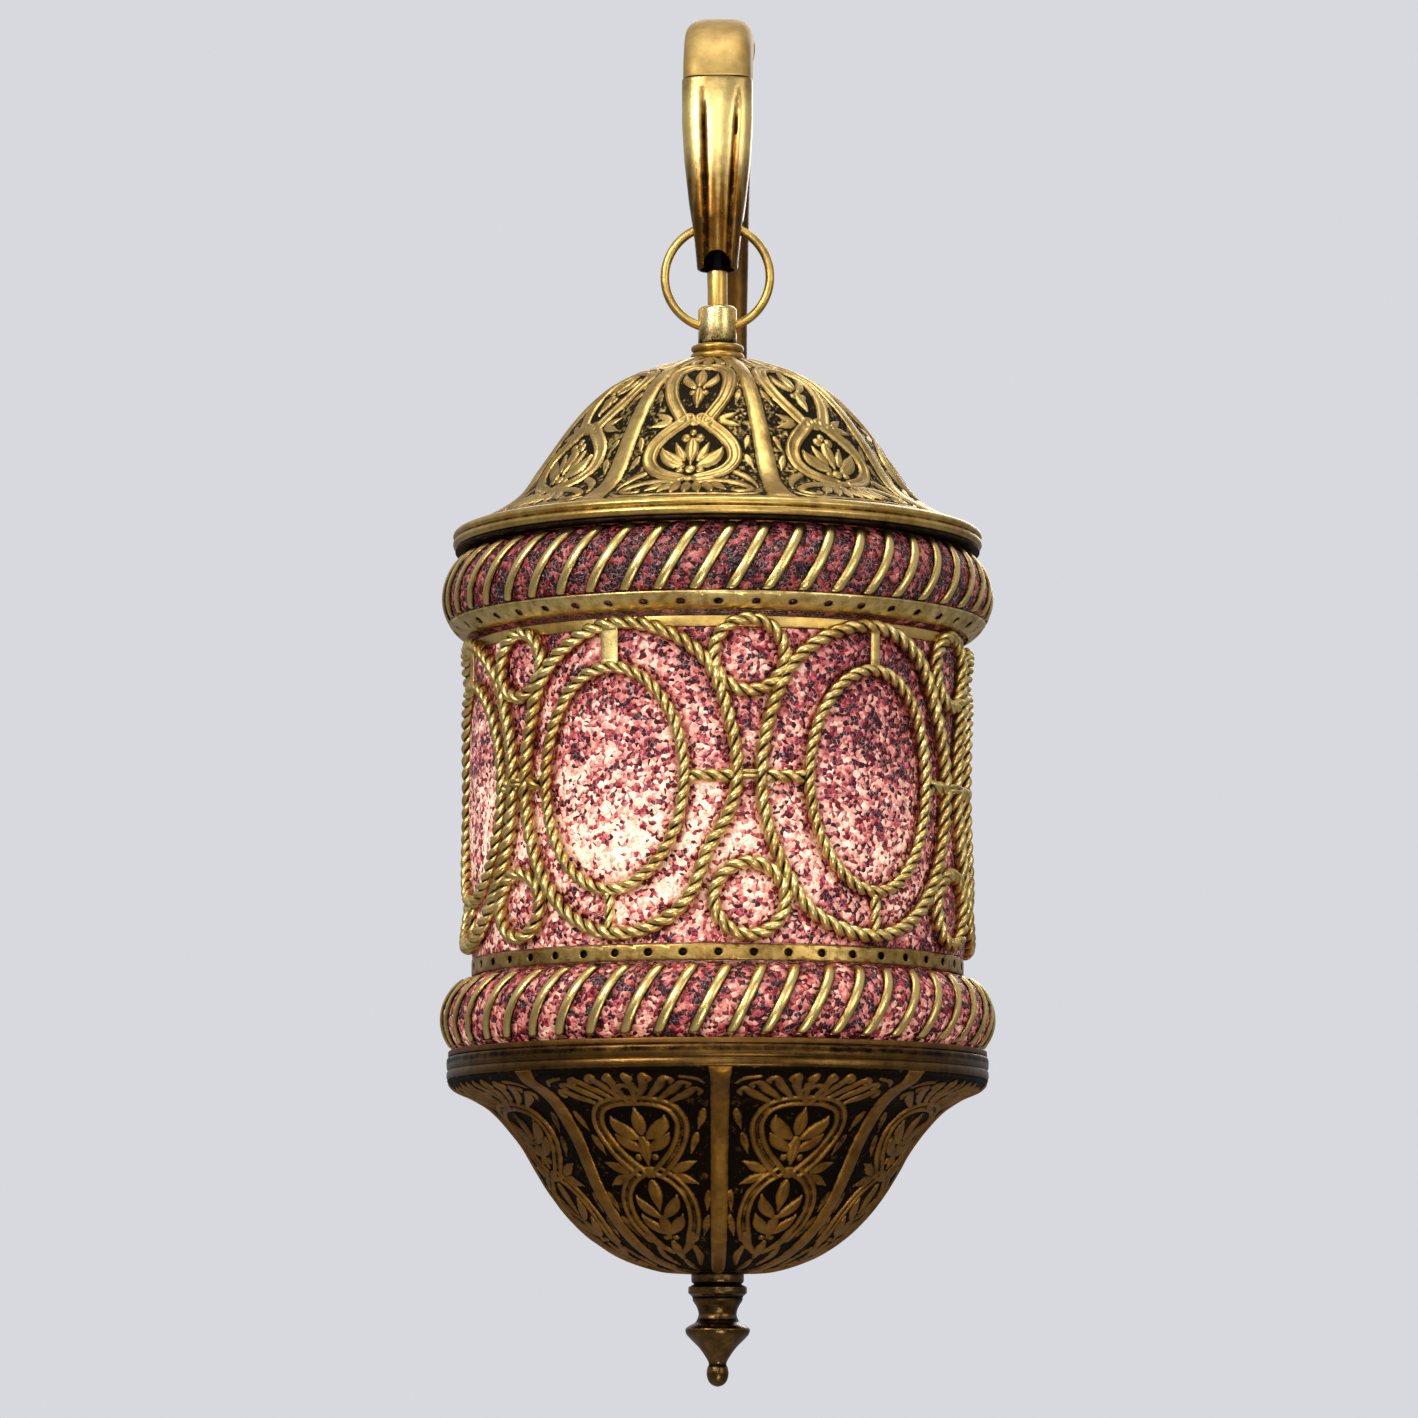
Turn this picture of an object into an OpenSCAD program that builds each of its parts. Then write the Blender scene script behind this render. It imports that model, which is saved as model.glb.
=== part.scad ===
// Wall-hung lantern: a swan-neck bracket carries a ring, the ring carries a
// domed cage of twisted wire filled with crackle glass, and a spun bowl closes
// the cage from below. Millimetres. The lantern faces -Y and the wall is the
// plane Y = 0; the origin is the centre of the wall strap's back face and +Z
// is up. Most parts are drawn around the lantern's own axis, with z = 0 at the
// middle of the glass body, and then moved into place by at_lantern().

/* [Bracket] */
// Distance from the wall to the lantern's axis
projection = 165; // [160:1:190]
// Height of the wall plate's centre above the lantern's own z = 0
plate_z = 60; // [50:1:70]
// Radius of the round wall plate
plate_r = 55; // [50:1:60]
// Depth of the wall plate's dish
plate_depth = 20; // [18:1:24]
// Distance between the two wall screws
wall_screw_spacing = 60; // [50:1:66]
// Radius of the holes for the wall screws
wall_screw_hole_r = 2.25; // [1.8:0.05:2.6]
// Distance from the lantern's axis to the arm's rear leg
leg_s = 133.5; // [131:0.5:136]
// Height of the arm's centreline at its highest point
arm_top_z = 278; // [270:0.5:284]
// Wall thickness of the hollow arm
arm_wall = 2.2; // [1.6:0.1:3]

/* [Ring] */
// Height of the ring's centre
ring_z = 175.4; // [175:0.1:176]
// Radius of the ring's centreline
ring_r = 21.2; // [21:0.1:21.4]
// Thickness of the ring's wire
ring_wire = 3.6; // [3:0.1:3.8]

/* [Dome] */
// Thickness of the dome's sheet metal
dome_wall = 1.3; // [1:0.1:2]
// Outer radius of the dome's rim band
rim_r = 106; // [105:0.5:107]

/* [Cage] */
// Radius of the centre circle of both glass rolls
roll_R = 92; // [91:0.5:92.5]
// Outer radius of a glass roll's own section
roll_r = 17.2; // [16.5:0.1:17.4]
// Height of the upper roll
roll_up_z = 42.8; // [42.4:0.1:43]
// Height of the lower roll
roll_low_z = -124.5; // [-124.8:0.1:-124.2]
// Number of brass ribs round each roll
rib_count = 48; // [36:1:52]
// Lean of the ribs from upright
rib_lean = 30; // [0:1:34]
// Width of a rib
rib_w = 4.2; // [3:0.1:5]
// Outer radius of the glass body
glass_r = 97.6; // [96:0.1:97.7]
// Thickness of the glass
glass_wall = 2.4; // [2:0.1:3]
// Width of the twisted wire
wire_w = 5.2; // [3.6:0.1:5.4]
// Height of the middle of the ovals
oval_z = -36.9; // [-38:0.1:-36]

/* [Bowl] */
// Outer radius of the bowl's rim
bowl_r = 107.6; // [107:0.1:108]
// Thickness of the bowl's sheet metal
bowl_wall = 1.3; // [1:0.1:2]

/* [Hidden] */

gap = 0.05;
$fn = 96;

brass = [0.66, 0.52, 0.24];
dark_brass = [0.36, 0.27, 0.13];
rose = [0.86, 0.50, 0.53, 0.6];

// Each oval medallion: centre angle of its outer loop, half angle of the outer
// loop, centre angle of its inner oval, half angle of the inner oval. They are
// spaced by hand, so the numbers are not quite regular. Angle 0 faces -Y.
medallions = [[-77.5, 28.3, -73, 19], [-20, 28, -22.6, 18.7], [38.4, 28.5, 39.4, 18.3],
              [98.8, 28, 98.8, 18.7], [159.2, 28, 159.2, 18.7], [220, 28, 220, 18.7]];
n_med = len(medallions);
loop_h = 62.7;       // half height of an outer loop, to the outside of the wire
oval_h = 45.6;       // half height of an inner oval, to the outside of the wire
wire_in = 98.1;      // the twisted wire lies between these two radii
wire_out = 101.9;

module at_lantern() translate([0, -projection, -plate_z]) children();
// Turns a part that faces +X so that it faces angle a from the front
module facing(a) rotate([0, 0, a - 90]) children();

// Hexagonal nut along +Z with its bore
module nut(af, h, bore) difference() {
  cylinder(r = af / sqrt(3), h = h, $fn = 6);
  translate([0, 0, -1]) cylinder(r = bore, h = h + 2);
}

// ---------- bracket ----------
// The arm's centreline in the plane x = 0: s is the distance behind the
// lantern's axis. A small elbow, an upright leg, and two quarter ellipses.
elbow_r = 9;
leg_top = 185;
apex_s = 38;
beak_top = 256;
foot_s = projection - plate_depth - 3;
function elbow_pt(a) = [leg_s + elbow_r - elbow_r * sin(a), plate_z + elbow_r - elbow_r * cos(a)];
function rise_pt(a) = [apex_s + (leg_s - apex_s) * cos(a), leg_top + (arm_top_z - leg_top) * sin(a)];
function fall_pt(a) = [apex_s - apex_s * sin(a), beak_top + (arm_top_z - beak_top) * cos(a)];
function elbow_dir(a) = [-cos(a), sin(a)];
function rise_dir(a) = unit([-(leg_s - apex_s) * sin(a), (arm_top_z - leg_top) * cos(a)]);
function fall_dir(a) = unit([-apex_s * cos(a), -(arm_top_z - beak_top) * sin(a)]);
function unit(v) = v / norm(v);

// One station: [point, direction, half width, half depth]
arm_stations = concat(
  [for (a = [0:22.5:90]) [elbow_pt(a), elbow_dir(a), 8, 7.2]],
  [for (z = [92, 120, 150]) [[leg_s, z], [0, 1], 8.4, 7.2]],
  [for (a = [0:7.5:90]) [rise_pt(a), rise_dir(a), 8.4 + 5.9 * pow(a / 90, 1.5), 7.2 + 3.3 * a / 90]]);
crown_stations = [for (a = [0:11.25:90]) [fall_pt(a), fall_dir(a), 14.3, 10.5]];

sides = 16;
function ring_of(st, inset) = [for (i = [0:sides - 1]) let (c = (st[2] - inset) * cos(360 * i / sides),
    d = (st[3] - inset) * sin(360 * i / sides))
  [c, st[0][0] + d * st[1][1], st[0][1] - d * st[1][0]]];
// Hollow tube with an outer and an inner skin along the stations
module hollow_sweep(st, wall) {
  n = len(st);
  pts = concat([for (k = [0:n - 1]) each ring_of(st[k], 0)], [for (k = [0:n - 1]) each ring_of(st[k], wall)]);
  function o(k, i) = k * sides + (i % sides);
  function q(k, i) = (n + k) * sides + (i % sides);
  faces = concat(
    [for (k = [0:n - 2], i = [0:sides - 1]) each [[o(k, i), o(k + 1, i), o(k + 1, i + 1)], [o(k, i), o(k + 1, i + 1), o(k, i + 1)]]],
    [for (k = [0:n - 2], i = [0:sides - 1]) each [[q(k, i), q(k + 1, i + 1), q(k + 1, i)], [q(k, i), q(k, i + 1), q(k + 1, i + 1)]]],
    [for (i = [0:sides - 1]) each [[o(0, i), o(0, i + 1), q(0, i + 1)], [o(0, i), q(0, i + 1), q(0, i)]]],
    [for (i = [0:sides - 1]) each [[o(n - 1, i), q(n - 1, i), q(n - 1, i + 1)], [o(n - 1, i), q(n - 1, i + 1), o(n - 1, i + 1)]]]);
  polyhedron(pts, faces, convexity = 8);
}

// Round lead through hand-set points in the plane x = x0, as [s, z]
module lead(path, r, x0 = 0) {
  n = len(path); m = 8;
  function dirn(k) = k == 0 ? unit(path[1] - path[0]) : k == n - 1 ? unit(path[n - 1] - path[n - 2])
    : unit(unit(path[k + 1] - path[k]) + unit(path[k] - path[k - 1]));
  pts = [for (k = [0:n - 1], i = [0:m - 1]) let (t = dirn(k), c = r * cos(360 * i / m), d = r * sin(360 * i / m))
    [x0 + c, path[k][0] + d * t[1], path[k][1] - d * t[0]]];
  faces = concat(
    [for (k = [0:n - 2], i = [0:m - 1]) let (a = k * m + i, b = k * m + (i + 1) % m) each [[a, a + m, b + m], [a, b + m, b]]],
    [[for (i = [0:m - 1]) i]], [[for (i = [m - 1:-1:0]) (n - 1) * m + i]]);
  polyhedron(pts, faces, convexity = 6);
}

module wall_strap() color("gainsboro") difference() {
  translate([-47, -3, -8]) cube([94, 3, 16]);
  for (x = [-1, 1] * wall_screw_spacing / 2) translate([x, 1, 0]) rotate([90, 0, 0]) cylinder(r = wall_screw_hole_r, h = 6);
  for (x = [-41, 41]) translate([x, 1, 0]) rotate([90, 0, 0]) cylinder(r = 2, h = 6);
}

module wall_plate() color(brass) difference() {
  rotate([90, 0, 0]) rotate_extrude() polygon([[5.2, plate_depth], [plate_r - 9, plate_depth], [plate_r - 4, plate_depth - 3],
    [plate_r - 1.5, 5], [plate_r, 4], [plate_r, 0], [plate_r - 1.6, 0], [plate_r - 1.6, 3.2], [plate_r - 3.1, 4.4],
    [plate_r - 5.5, plate_depth - 4], [plate_r - 9.6, plate_depth - 1.6], [5.2, plate_depth - 1.6]]);
  for (x = [-41, 41]) translate([x, -plate_depth - 1, 0]) rotate([-90, 0, 0]) cylinder(r = 2.3, h = 4);
}

module plate_screws() color(brass) for (x = [-41, 41]) translate([x, -plate_depth - gap, 0]) rotate([90, 0, 0]) {
  rotate_extrude() polygon([[0, -plate_depth + 0.2], [1.9, -plate_depth + 0.2], [1.9, 0], [4.2, 0], [4.2, 1.4], [3.4, 2.8], [1.8, 3.9], [0, 4.3]]);
}

module terminal_block() color("white") translate([-14, -13.5, -34]) difference() {
  cube([28, 9, 12]);
  for (x = [5, 14, 23]) {
    translate([x, 4.5, -1]) cylinder(r = 1.6, h = 14);
  }
}

// Round flange under the arm with a hollow threaded spigot through the plate
module arm_foot() color(brass) rotate([90, 0, 0]) rotate_extrude()
  polygon([[3.6, plate_depth - 11], [5, plate_depth - 11], [5, plate_depth + gap], [15, plate_depth + gap], [15, plate_depth + 1.4],
    [12, plate_depth + 2.3 - gap], [3.6, plate_depth + 2.3 - gap]]);

module arm_foot_nut() color("silver") translate([0, -plate_depth + 1.65, 0]) rotate([-90, 0, 0]) nut(15, 4, 5 + gap);

module bracket_arm() color(brass) at_lantern() hollow_sweep(arm_stations, arm_wall);

module arm_crown() color([0.72, 0.60, 0.36]) at_lantern() hollow_sweep([for (k = [0:len(crown_stations) - 1])
  k == 0 ? [crown_stations[0][0] + [-0.1, 0], crown_stations[0][1], 14.3, 10.5] : crown_stations[k]], arm_wall);

// Tapered, flattened spout whose mouth the stem points into. The ring passes
// through the cross hole.
beak_mouth = 178.2;
ring_hole_z = 195.4;
module arm_beak() color(brass) at_lantern() difference() {
  intersection() {
    rotate_extrude() polygon([[14.4, beak_top - 0.1], [14.4, 238], [13.4, 222], [11.4, 205], [9.2, 190],
      [8.4, 182], [8.2, beak_mouth], [6.9, beak_mouth], [6.9, 190], [8.2, 206], [8.2, beak_top - 0.1]]);
    translate([-20, -10.5, beak_mouth - 1]) cube([40, 21, 90]);
  }
  translate([-20, 0, ring_hole_z]) rotate([0, 90, 0]) cylinder(r = 3.3, h = 40);
  // arched notch at the front of the mouth
  translate([0, 0, beak_mouth + 1.4]) rotate([90, 0, 0]) cylinder(r = 5.4, h = 20);
}

supply_path = concat([[156, 38.4], [157, 44], [158.8, 50], [160, 55], [159.6, 58.4], [157.5, 60], [152, 60], [146, 60]],
  [for (a = [15:25:90]) elbow_pt(a)], [for (z = [85, 115, 145]) [leg_s, z]],
  [for (a = [0:10:90]) rise_pt(a)], [for (a = [15:15:75]) fall_pt(a)],
  [[0.2, 250], [0.6, 240], [2, 226], [3.8, 212], [4.5, 203], [4.5, 193], [4, 187], [2.5, 182], [1.5, 178.8]]);
module supply_lead() color("black") at_lantern() lead(supply_path, 1.9);

// ---------- ring ----------
module hanging_ring() color(brass) at_lantern() translate([0, 0, ring_z]) rotate([90, 0, 0])
  rotate_extrude($fn = 128) translate([ring_r, 0]) circle(r = ring_wire / 2, $fn = 32);

// ---------- lantern, top ----------
stem_top = 177.6;
cap_low = 147.6;
cap_high = 163.1;
cap_hole_z = 154.9;
dome_top = 140.5;

module stem_tube() color(brass) at_lantern() translate([0, 0, cap_high - 2.6]) difference() {
  cylinder(r = 4, h = stem_top - cap_high + 2.6);
  translate([0, 0, -1]) cylinder(r = 3, h = 30);
}

module ring_cap() color(brass) at_lantern() difference() {
  rotate_extrude() polygon([[5 + gap, cap_low], [7.8, cap_low], [7.8, cap_high - 1.2], [6.6, cap_high], [4 + gap, cap_high],
    [4 + gap, cap_high - 2.6], [5.9, cap_high - 2.6], [5.9, cap_low + 2.2], [5 + gap, cap_low + 2.2]]);
  translate([-20, 0, cap_hole_z]) rotate([0, 90, 0]) cylinder(r = 2.8, h = 40);
}

module neck_collar() color(brass) at_lantern() rotate_extrude()
  polygon([[5 + gap, cap_low - gap], [9, cap_low - gap], [10.6, 146.4], [10.6, 145], [9.4, 144.2], [10.8, 143.2], [10.8, 141.6], [9.8, dome_top + gap], [5 + gap, dome_top + gap]]);

tube_low = 42;
module centre_tube() color("goldenrod") at_lantern() difference() {
  translate([0, 0, tube_low]) cylinder(r = 5, h = 149.7 - tube_low);
  translate([0, 0, tube_low - 1]) cylinder(r = 3.9, h = 120);
}

module dome_washer() color("silver") at_lantern() difference() {
  translate([0, 0, dome_top - dome_wall - 1.6]) cylinder(r = 10, h = 1.5);
  translate([0, 0, dome_top - 6]) cylinder(r = 5 + gap, h = 8);
}
module dome_nut() color("silver") at_lantern() translate([0, 0, dome_top - dome_wall - 1.65 - 3.5]) nut(15, 3.5, 5 + gap);

// Control points of the spun dome's outside, from the neck to the rim
dome_pts = [[14, 140.5], [27, 136.2], [38, 131.5], [48, 124.6], [57, 115.4], [65, 105], [72, 94.6], [77, 87], [82, 81.6], [89, 76.9], [97, 73], [101.2, 71.2]];
function smooth(p, a = 6) = [for (k = [0:len(p) - 2], j = [0:a - 1]) let (t = j / a,
    p0 = p[max(k - 1, 0)], p1 = p[k], p2 = p[k + 1], p3 = p[min(k + 2, len(p) - 1)])
  0.5 * (2 * p1 + (p2 - p0) * t + (2 * p0 - 5 * p1 + 4 * p2 - p3) * t * t + (3 * p1 - 3 * p2 + p3 - p0) * t * t * t)];
dome_line = concat(smooth(dome_pts, 3), [dome_pts[len(dome_pts) - 1]]);
// Moves a profile inwards, square to itself
function inset(p, d) = [for (k = [0:len(p) - 1]) let (a = p[max(k - 1, 0)], b = p[min(k + 1, len(p) - 1)], t = unit(b - a)) p[k] + d * [t[1], -t[0]]];

module dome() color(dark_brass) at_lantern() rotate_extrude() polygon(concat([[5.1, dome_top]], dome_line,
  [for (k = [len(dome_line) - 1:-1:0]) inset(dome_line, dome_wall)[k]], [[5.1, dome_top - dome_wall]]));

module dome_rim() color(brass) at_lantern() rotate_extrude()
  polygon([[101.4, 71.4], [103.5, 71], [105.4, 70.2], [rim_r, 69.2], [rim_r, 67.8], [105.4, 67.2], [rim_r, 66.6], [rim_r, 64.6], [105, 63.5],
    [101.4, 63.5]]);

module cage_top_ring() color([0.12, 0.1, 0.08]) at_lantern() difference() {
  rotate_extrude() polygon([[100.6, 59.9], [105.2, 59.9], [105.2, 63.4], [95, 63.4], [95, 61.6], [100.6, 61.6]]);
  for (x = [-98, 98]) translate([x, 0, 59]) cylinder(r = 1.3, h = 6);
}

// Flat bar that hangs the lamp holder and clamps the cage under the dome
module spider_bar() color("gray") at_lantern() difference() {
  intersection() {
    translate([-101, -7, 63.45]) cube([202, 14, 2]);
    cylinder(r = 101, h = 100);
  }
  cylinder(r = 5 + gap, h = 100);
  for (x = [-98, 98]) translate([x, 0, 60]) cylinder(r = 1.6, h = 8);
}
module spider_nuts() color("silver") at_lantern() for (z = [65.5, 59.9]) translate([0, 0, z]) nut(15, 3.5, 5 + gap);
module spider_screws() color("silver") at_lantern() for (x = [-98, 98]) translate([x, 0, 0])
  rotate_extrude() polygon([[0, 61.7], [1.25, 61.7], [1.25, 65.5], [2.6, 65.5], [2.2, 67], [0, 67.2]]);

lantern_path = [[0.8, 177.4], [0.8, 164], [1.2, 160.6], [2.5, 158.6], [3.7, 156.8], [4.1, 154.8], [3.7, 152.6], [2.5, 150.6], [1.6, 148], [0.5, 140],
  [0, 120], [0, 90], [0, 60], [0, 44], [0, 38]];
module lantern_lead() color("black") at_lantern() lead(lantern_path, 1.3);

// ---------- lamp holder and lamp ----------
module holder_cap() color("black") at_lantern() rotate_extrude()
  polygon([[5 + gap, 52], [8, 52], [9, 50], [12, 46], [17, 41], [19.5, 34], [19.5, 24.1], [18, 24.1], [18, 33], [15.5, 39.5], [10.5, 44.2], [5 + gap, 44.2]]);
module holder_block() color("white") at_lantern() difference() {
  translate([0, 0, 26.6]) cylinder(r = 15.5, h = 9);
  for (x = [-7, 7]) translate([x, 0, 26]) cylinder(r = 2, h = 10);
}
module holder_contacts() color("goldenrod") at_lantern() {
  translate([0, 0, 25.2]) cylinder(r = 4, h = 1.35);
  for (x = [-7, 7]) translate([x, 0, 30]) cylinder(r = 1.9, h = 7);
}
module holder_shell() color("black") at_lantern() rotate_extrude()
  polygon([[13.9, -4], [16.5, -4], [17.5, 0], [19.5, 2], [19.5, 24], [16, 24], [16, 26.5], [13.9, 26.5]]);
module bulb_cap() color("silver") at_lantern() rotate_extrude()
  polygon([[0, 24.6], [4.5, 24.6], [5, 23], [10.5, 21], [13.1, 19], [13.1, -2], [12, -2], [12, 18], [0, 20.5]]);
module bulb_glass() color([1, 0.97, 0.9, 0.7]) at_lantern() rotate_extrude()
  polygon(concat([[0, -80]], [for (a = [-82:8:22]) [30 * cos(a), -50 + 30 * sin(a)]],
    [[20, -22], [14.4, -8], [13.6, -2.1], [0, -2.1], [0, -3.1], [12.6, -3.1], [13.4, -8], [19, -22]],
    [for (a = [22:-8:-82]) [29 * cos(a), -50 + 29 * sin(a)]], [[0, -79]]));

// ---------- glass rolls and their brass ----------
// Open roll of glass: the side towards the lantern's axis is left off
module glass_roll(z) rotate_extrude() translate([roll_R, z]) difference() {
  circle(r = roll_r);
  circle(r = roll_r - glass_wall);
  translate([-40, -20]) square([31, 40]);
}
// Leaning ribs: upright slabs cut out of a thin skin just outside the roll
module roll_ribs(z, low, high, lean) intersection() {
  rotate_extrude() translate([roll_R, z]) difference() {
    circle(r = roll_r + 1.35);
    circle(r = roll_r + 0.25);
    translate([-40, -20]) square([40, 40]);
    translate([-40, high]) square([80, 40]);
    translate([-40, low - 40]) square([80, 40]);
  }
  for (i = [0:rib_count - 1]) facing(360 * i / rib_count) translate([100, 0, z]) rotate([lean, 0, 0])
    translate([-10, -rib_w / 2, -30]) cube([24, rib_w, 60]);
}
// Strip of sheet that hugs the roll between two angles below its widest line
module hugging_band(z, from, to) rotate_extrude() translate([roll_R, z]) intersection() {
  difference() {
    circle(r = roll_r + 1.35);
    circle(r = roll_r + 0.25);
  }
  polygon([[0, 0], 40 * [cos(from), -sin(from)], 40 * [cos(to), -sin(to)]]);
}

module upper_glass_roll() color([0.62, 0.30, 0.42, 0.6]) at_lantern() glass_roll(roll_up_z);
module upper_roll_ribs() color(brass) at_lantern() roll_ribs(roll_up_z, -9.3, 16.4, -rib_lean);
module upper_pierced_band() color(brass) at_lantern() hugging_band(roll_up_z, 33, 63);
module upper_trim_band() color(brass) at_lantern() difference() {
  translate([0, 0, 20.9]) cylinder(r = 98, h = 4.6);
  translate([0, 0, 20]) cylinder(r = 96.6, h = 8);
}
module glass_body() color(rose) at_lantern() difference() {
  translate([0, 0, -100.8]) cylinder(r = glass_r, h = 121.6);
  translate([0, 0, -110]) cylinder(r = glass_r - glass_wall, h = 160);
}

// ---------- twisted-wire cage ----------
// Everything drawn by its children, in flat plates that face outwards, is cut
// to the thin round shell in which the wire lies.
module wire_shell() intersection() {
  difference() {
    translate([0, 0, -108]) cylinder(r = wire_out, h = 140);
    translate([0, 0, -110]) cylinder(r = wire_in, h = 150);
  }
  children();
}
function flat_x(a) = 100 * sin(a);
module plate_at(a) facing(a) translate([85, 0, 0]) rotate([90, 0, 90]) linear_extrude(height = 30) children();
module oval_plate(a, half_a, half_h) plate_at(a) difference() {
  polygon([for (t = [0:9:351]) [flat_x(half_a * cos(t)), oval_z + half_h * sin(t)]]);
  polygon([for (t = [0:9:351]) [flat_x(half_a * cos(t)) - wire_w * cos(t), oval_z + (half_h - wire_w) * sin(t)]]);
}
// Middle of the gap between loop k and the next one, and its half width at z
function next_a(k) = medallions[(k + 1) % n_med][0] + (k == n_med - 1 ? 360 : 0);
function side_a(half_a, z) = half_a * sqrt(1 - pow((z - oval_z) / loop_h, 2));
function gap_a(k, z) = (medallions[k][0] + side_a(medallions[k][1], z) + next_a(k) - side_a(medallions[(k + 1) % n_med][1], z)) / 2;
module round_plate(a, z, r) plate_at(a) translate([0, z]) difference() {
  circle(r = r);
  circle(r = r - wire_w);
}
top_circle_z = 10;
bottom_circle_z = -84.2;

module inner_ovals() color(brass) at_lantern() wire_shell() for (m = medallions) oval_plate(m[2], m[3], oval_h);
module outer_loops() color(brass) at_lantern() wire_shell() for (m = medallions) oval_plate(m[0], m[1], loop_h);
top_circle_r = [13.5, 14, 15.4, 15.7, 15.7, 15.7];
bottom_circle_r = [13.6, 14.1, 15.6, 15.9, 15.9, 15.9];
module top_circles() color(brass) at_lantern() wire_shell() for (k = [0:n_med - 1])
  round_plate(gap_a(k, top_circle_z), top_circle_z, top_circle_r[k]);
module bottom_circles() color(brass) at_lantern() wire_shell() for (k = [0:n_med - 1])
  round_plate(gap_a(k, bottom_circle_z), bottom_circle_z, bottom_circle_r[k]);
// Short ties between each inner oval and its outer loop, clear of both
module cage_ties() color(brass) at_lantern() wire_shell() for (m = medallions) difference() {
  union() {
    plate_at(m[2]) {
      translate([-3, oval_z + oval_h + 0.2]) square([6, loop_h - oval_h - wire_w - 1.2]);
      translate([-2.3, oval_z - loop_h + wire_w + 0.8]) square([4.6, loop_h - oval_h - wire_w - 1.2]);
    }
    for (side = [-1, 1]) let (a1 = m[2] + side * m[3], a2 = m[0] + side * m[1], w = abs(a2 - a1) * 1.745)
      plate_at((a1 + a2 - side * wire_w * 0.62) / 2) translate([-(w - wire_w) / 2 + 0.6, oval_z - 2.3]) square([w - wire_w - 1.2, 4.6]);
  }
  plate_at(m[0]) difference() {
    translate([-60, -120]) square([120, 160]);
    polygon([for (t = [0:9:351]) [flat_x(m[1] * cos(t)) - (wire_w + 0.15) * cos(t), oval_z + (loop_h - wire_w - 0.15) * sin(t)]]);
  }
  plate_at(m[2]) polygon([for (t = [0:9:351]) [flat_x(m[3] * cos(t)) + 0.15 * cos(t), oval_z + (oval_h + 0.15) * sin(t)]]);
}

module lower_pierced_band() color(brass) at_lantern() difference() {
  translate([0, 0, -107.6]) cylinder(r = 98, h = 6.6);
  translate([0, 0, -109]) cylinder(r = glass_r - 1 + 0.1, h = 12);
}
module lower_glass_roll() color([0.80, 0.46, 0.47, 0.6]) at_lantern() glass_roll(roll_low_z);
module lower_roll_ribs() color(brass) at_lantern() roll_ribs(roll_low_z, -12, 15.6, -rib_lean + 4);

// ---------- bottom of the cage ----------
module cage_bottom_ring() color(dark_brass) at_lantern() difference() {
  rotate_extrude() polygon([[104, -139.7], [105.9, -139.7], [105.9, -138.6], [107, -138.2], [107, -137.3], [104.4, -137.3]]);
}
module bottom_bar() color("gray") at_lantern() difference() {
  intersection() {
    union() {
      translate([-105.6, -7, -146.4]) cube([211.2, 14, 2]);
      for (x = [-105.6, 103.9]) translate([x, -7, -146.4]) cube([1.7, 14, 6.65]);
    }
    translate([0, 0, -150]) cylinder(r = 105.6, h = 20);
  }
  translate([0, 0, -150]) cylinder(r = 3 + gap, h = 10);
}
module centre_rod() color("silver") at_lantern() translate([0, 0, -239]) cylinder(r = 2.95, h = 98.5);
module rod_nuts() color("silver") at_lantern() for (z = [-144.35, -149.45]) translate([0, 0, z]) nut(10, 3, 3 + gap);

// ---------- bowl and finial ----------
bowl_pts = [[107.4, -148.9], [104, -152.6], [96.5, -156], [89, -161], [82.5, -168], [76.5, -176], [71.5, -184.5], [66.5, -192.6], [60.5, -200.6], [53, -208.4],
  [43.5, -215.4], [34, -220.1], [22, -223.6], [11, -224.4]];
bowl_line = concat(smooth(bowl_pts, 3), [bowl_pts[len(bowl_pts) - 1]]);
module bowl() color(dark_brass) at_lantern() rotate_extrude() polygon(concat(bowl_line, [[3.3, -224.4], [3.3, -224.4 + bowl_wall]],
  [for (k = [len(bowl_line) - 1:-1:1]) let (q = inset(bowl_line, bowl_wall)[k]) q], [[105.9, -148.9]]));
module bowl_rim() color(dark_brass) at_lantern() rotate_extrude()
  polygon([[106, -148.8], [bowl_r, -148.8], [bowl_r, -145.6], [107, -145], [bowl_r, -144.4], [bowl_r, -140.6], [107, -140], [106, -140]]);
module finial() color(dark_brass) at_lantern() difference() {
  rotate_extrude() polygon([[0, -224.5], [10.4, -224.5], [10.4, -228.4], [9.4, -229.2], [11.6, -230], [11.6, -232.8], [10, -234], [9.9, -235.4], [8.2, -238],
    [7.5, -240.5], [8.4, -243.8], [11.4, -245.6], [12.8, -247.2], [12.2, -249], [10.4, -251], [7.4, -254], [4.8, -257.6], [3.5, -260.2], [4.1, -262.2],
    [4.4, -264.6], [3.7, -267], [1.8, -268.9], [0, -269.5]]);
  translate([0, 0, -242]) cylinder(r = 3, h = 18);
}

wall_strap();
wall_plate();
plate_screws();
terminal_block();
arm_foot();
arm_foot_nut();
bracket_arm();
arm_crown();
arm_beak();
supply_lead();
hanging_ring();
stem_tube();
ring_cap();
neck_collar();
centre_tube();
dome_nut();
dome_washer();
dome();
dome_rim();
cage_top_ring();
spider_bar();
spider_nuts();
spider_screws();
lantern_lead();
holder_cap();
holder_block();
holder_contacts();
holder_shell();
upper_glass_roll();
upper_roll_ribs();
upper_pierced_band();
upper_trim_band();
glass_body();
inner_ovals();
outer_loops();
top_circles();
bottom_circles();
cage_ties();
lower_pierced_band();
lower_glass_roll();
lower_roll_ribs();
cage_bottom_ring();
bottom_bar();
centre_rod();
rod_nuts();
bulb_cap();
bulb_glass();
bowl();
bowl_rim();
finial();
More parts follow.
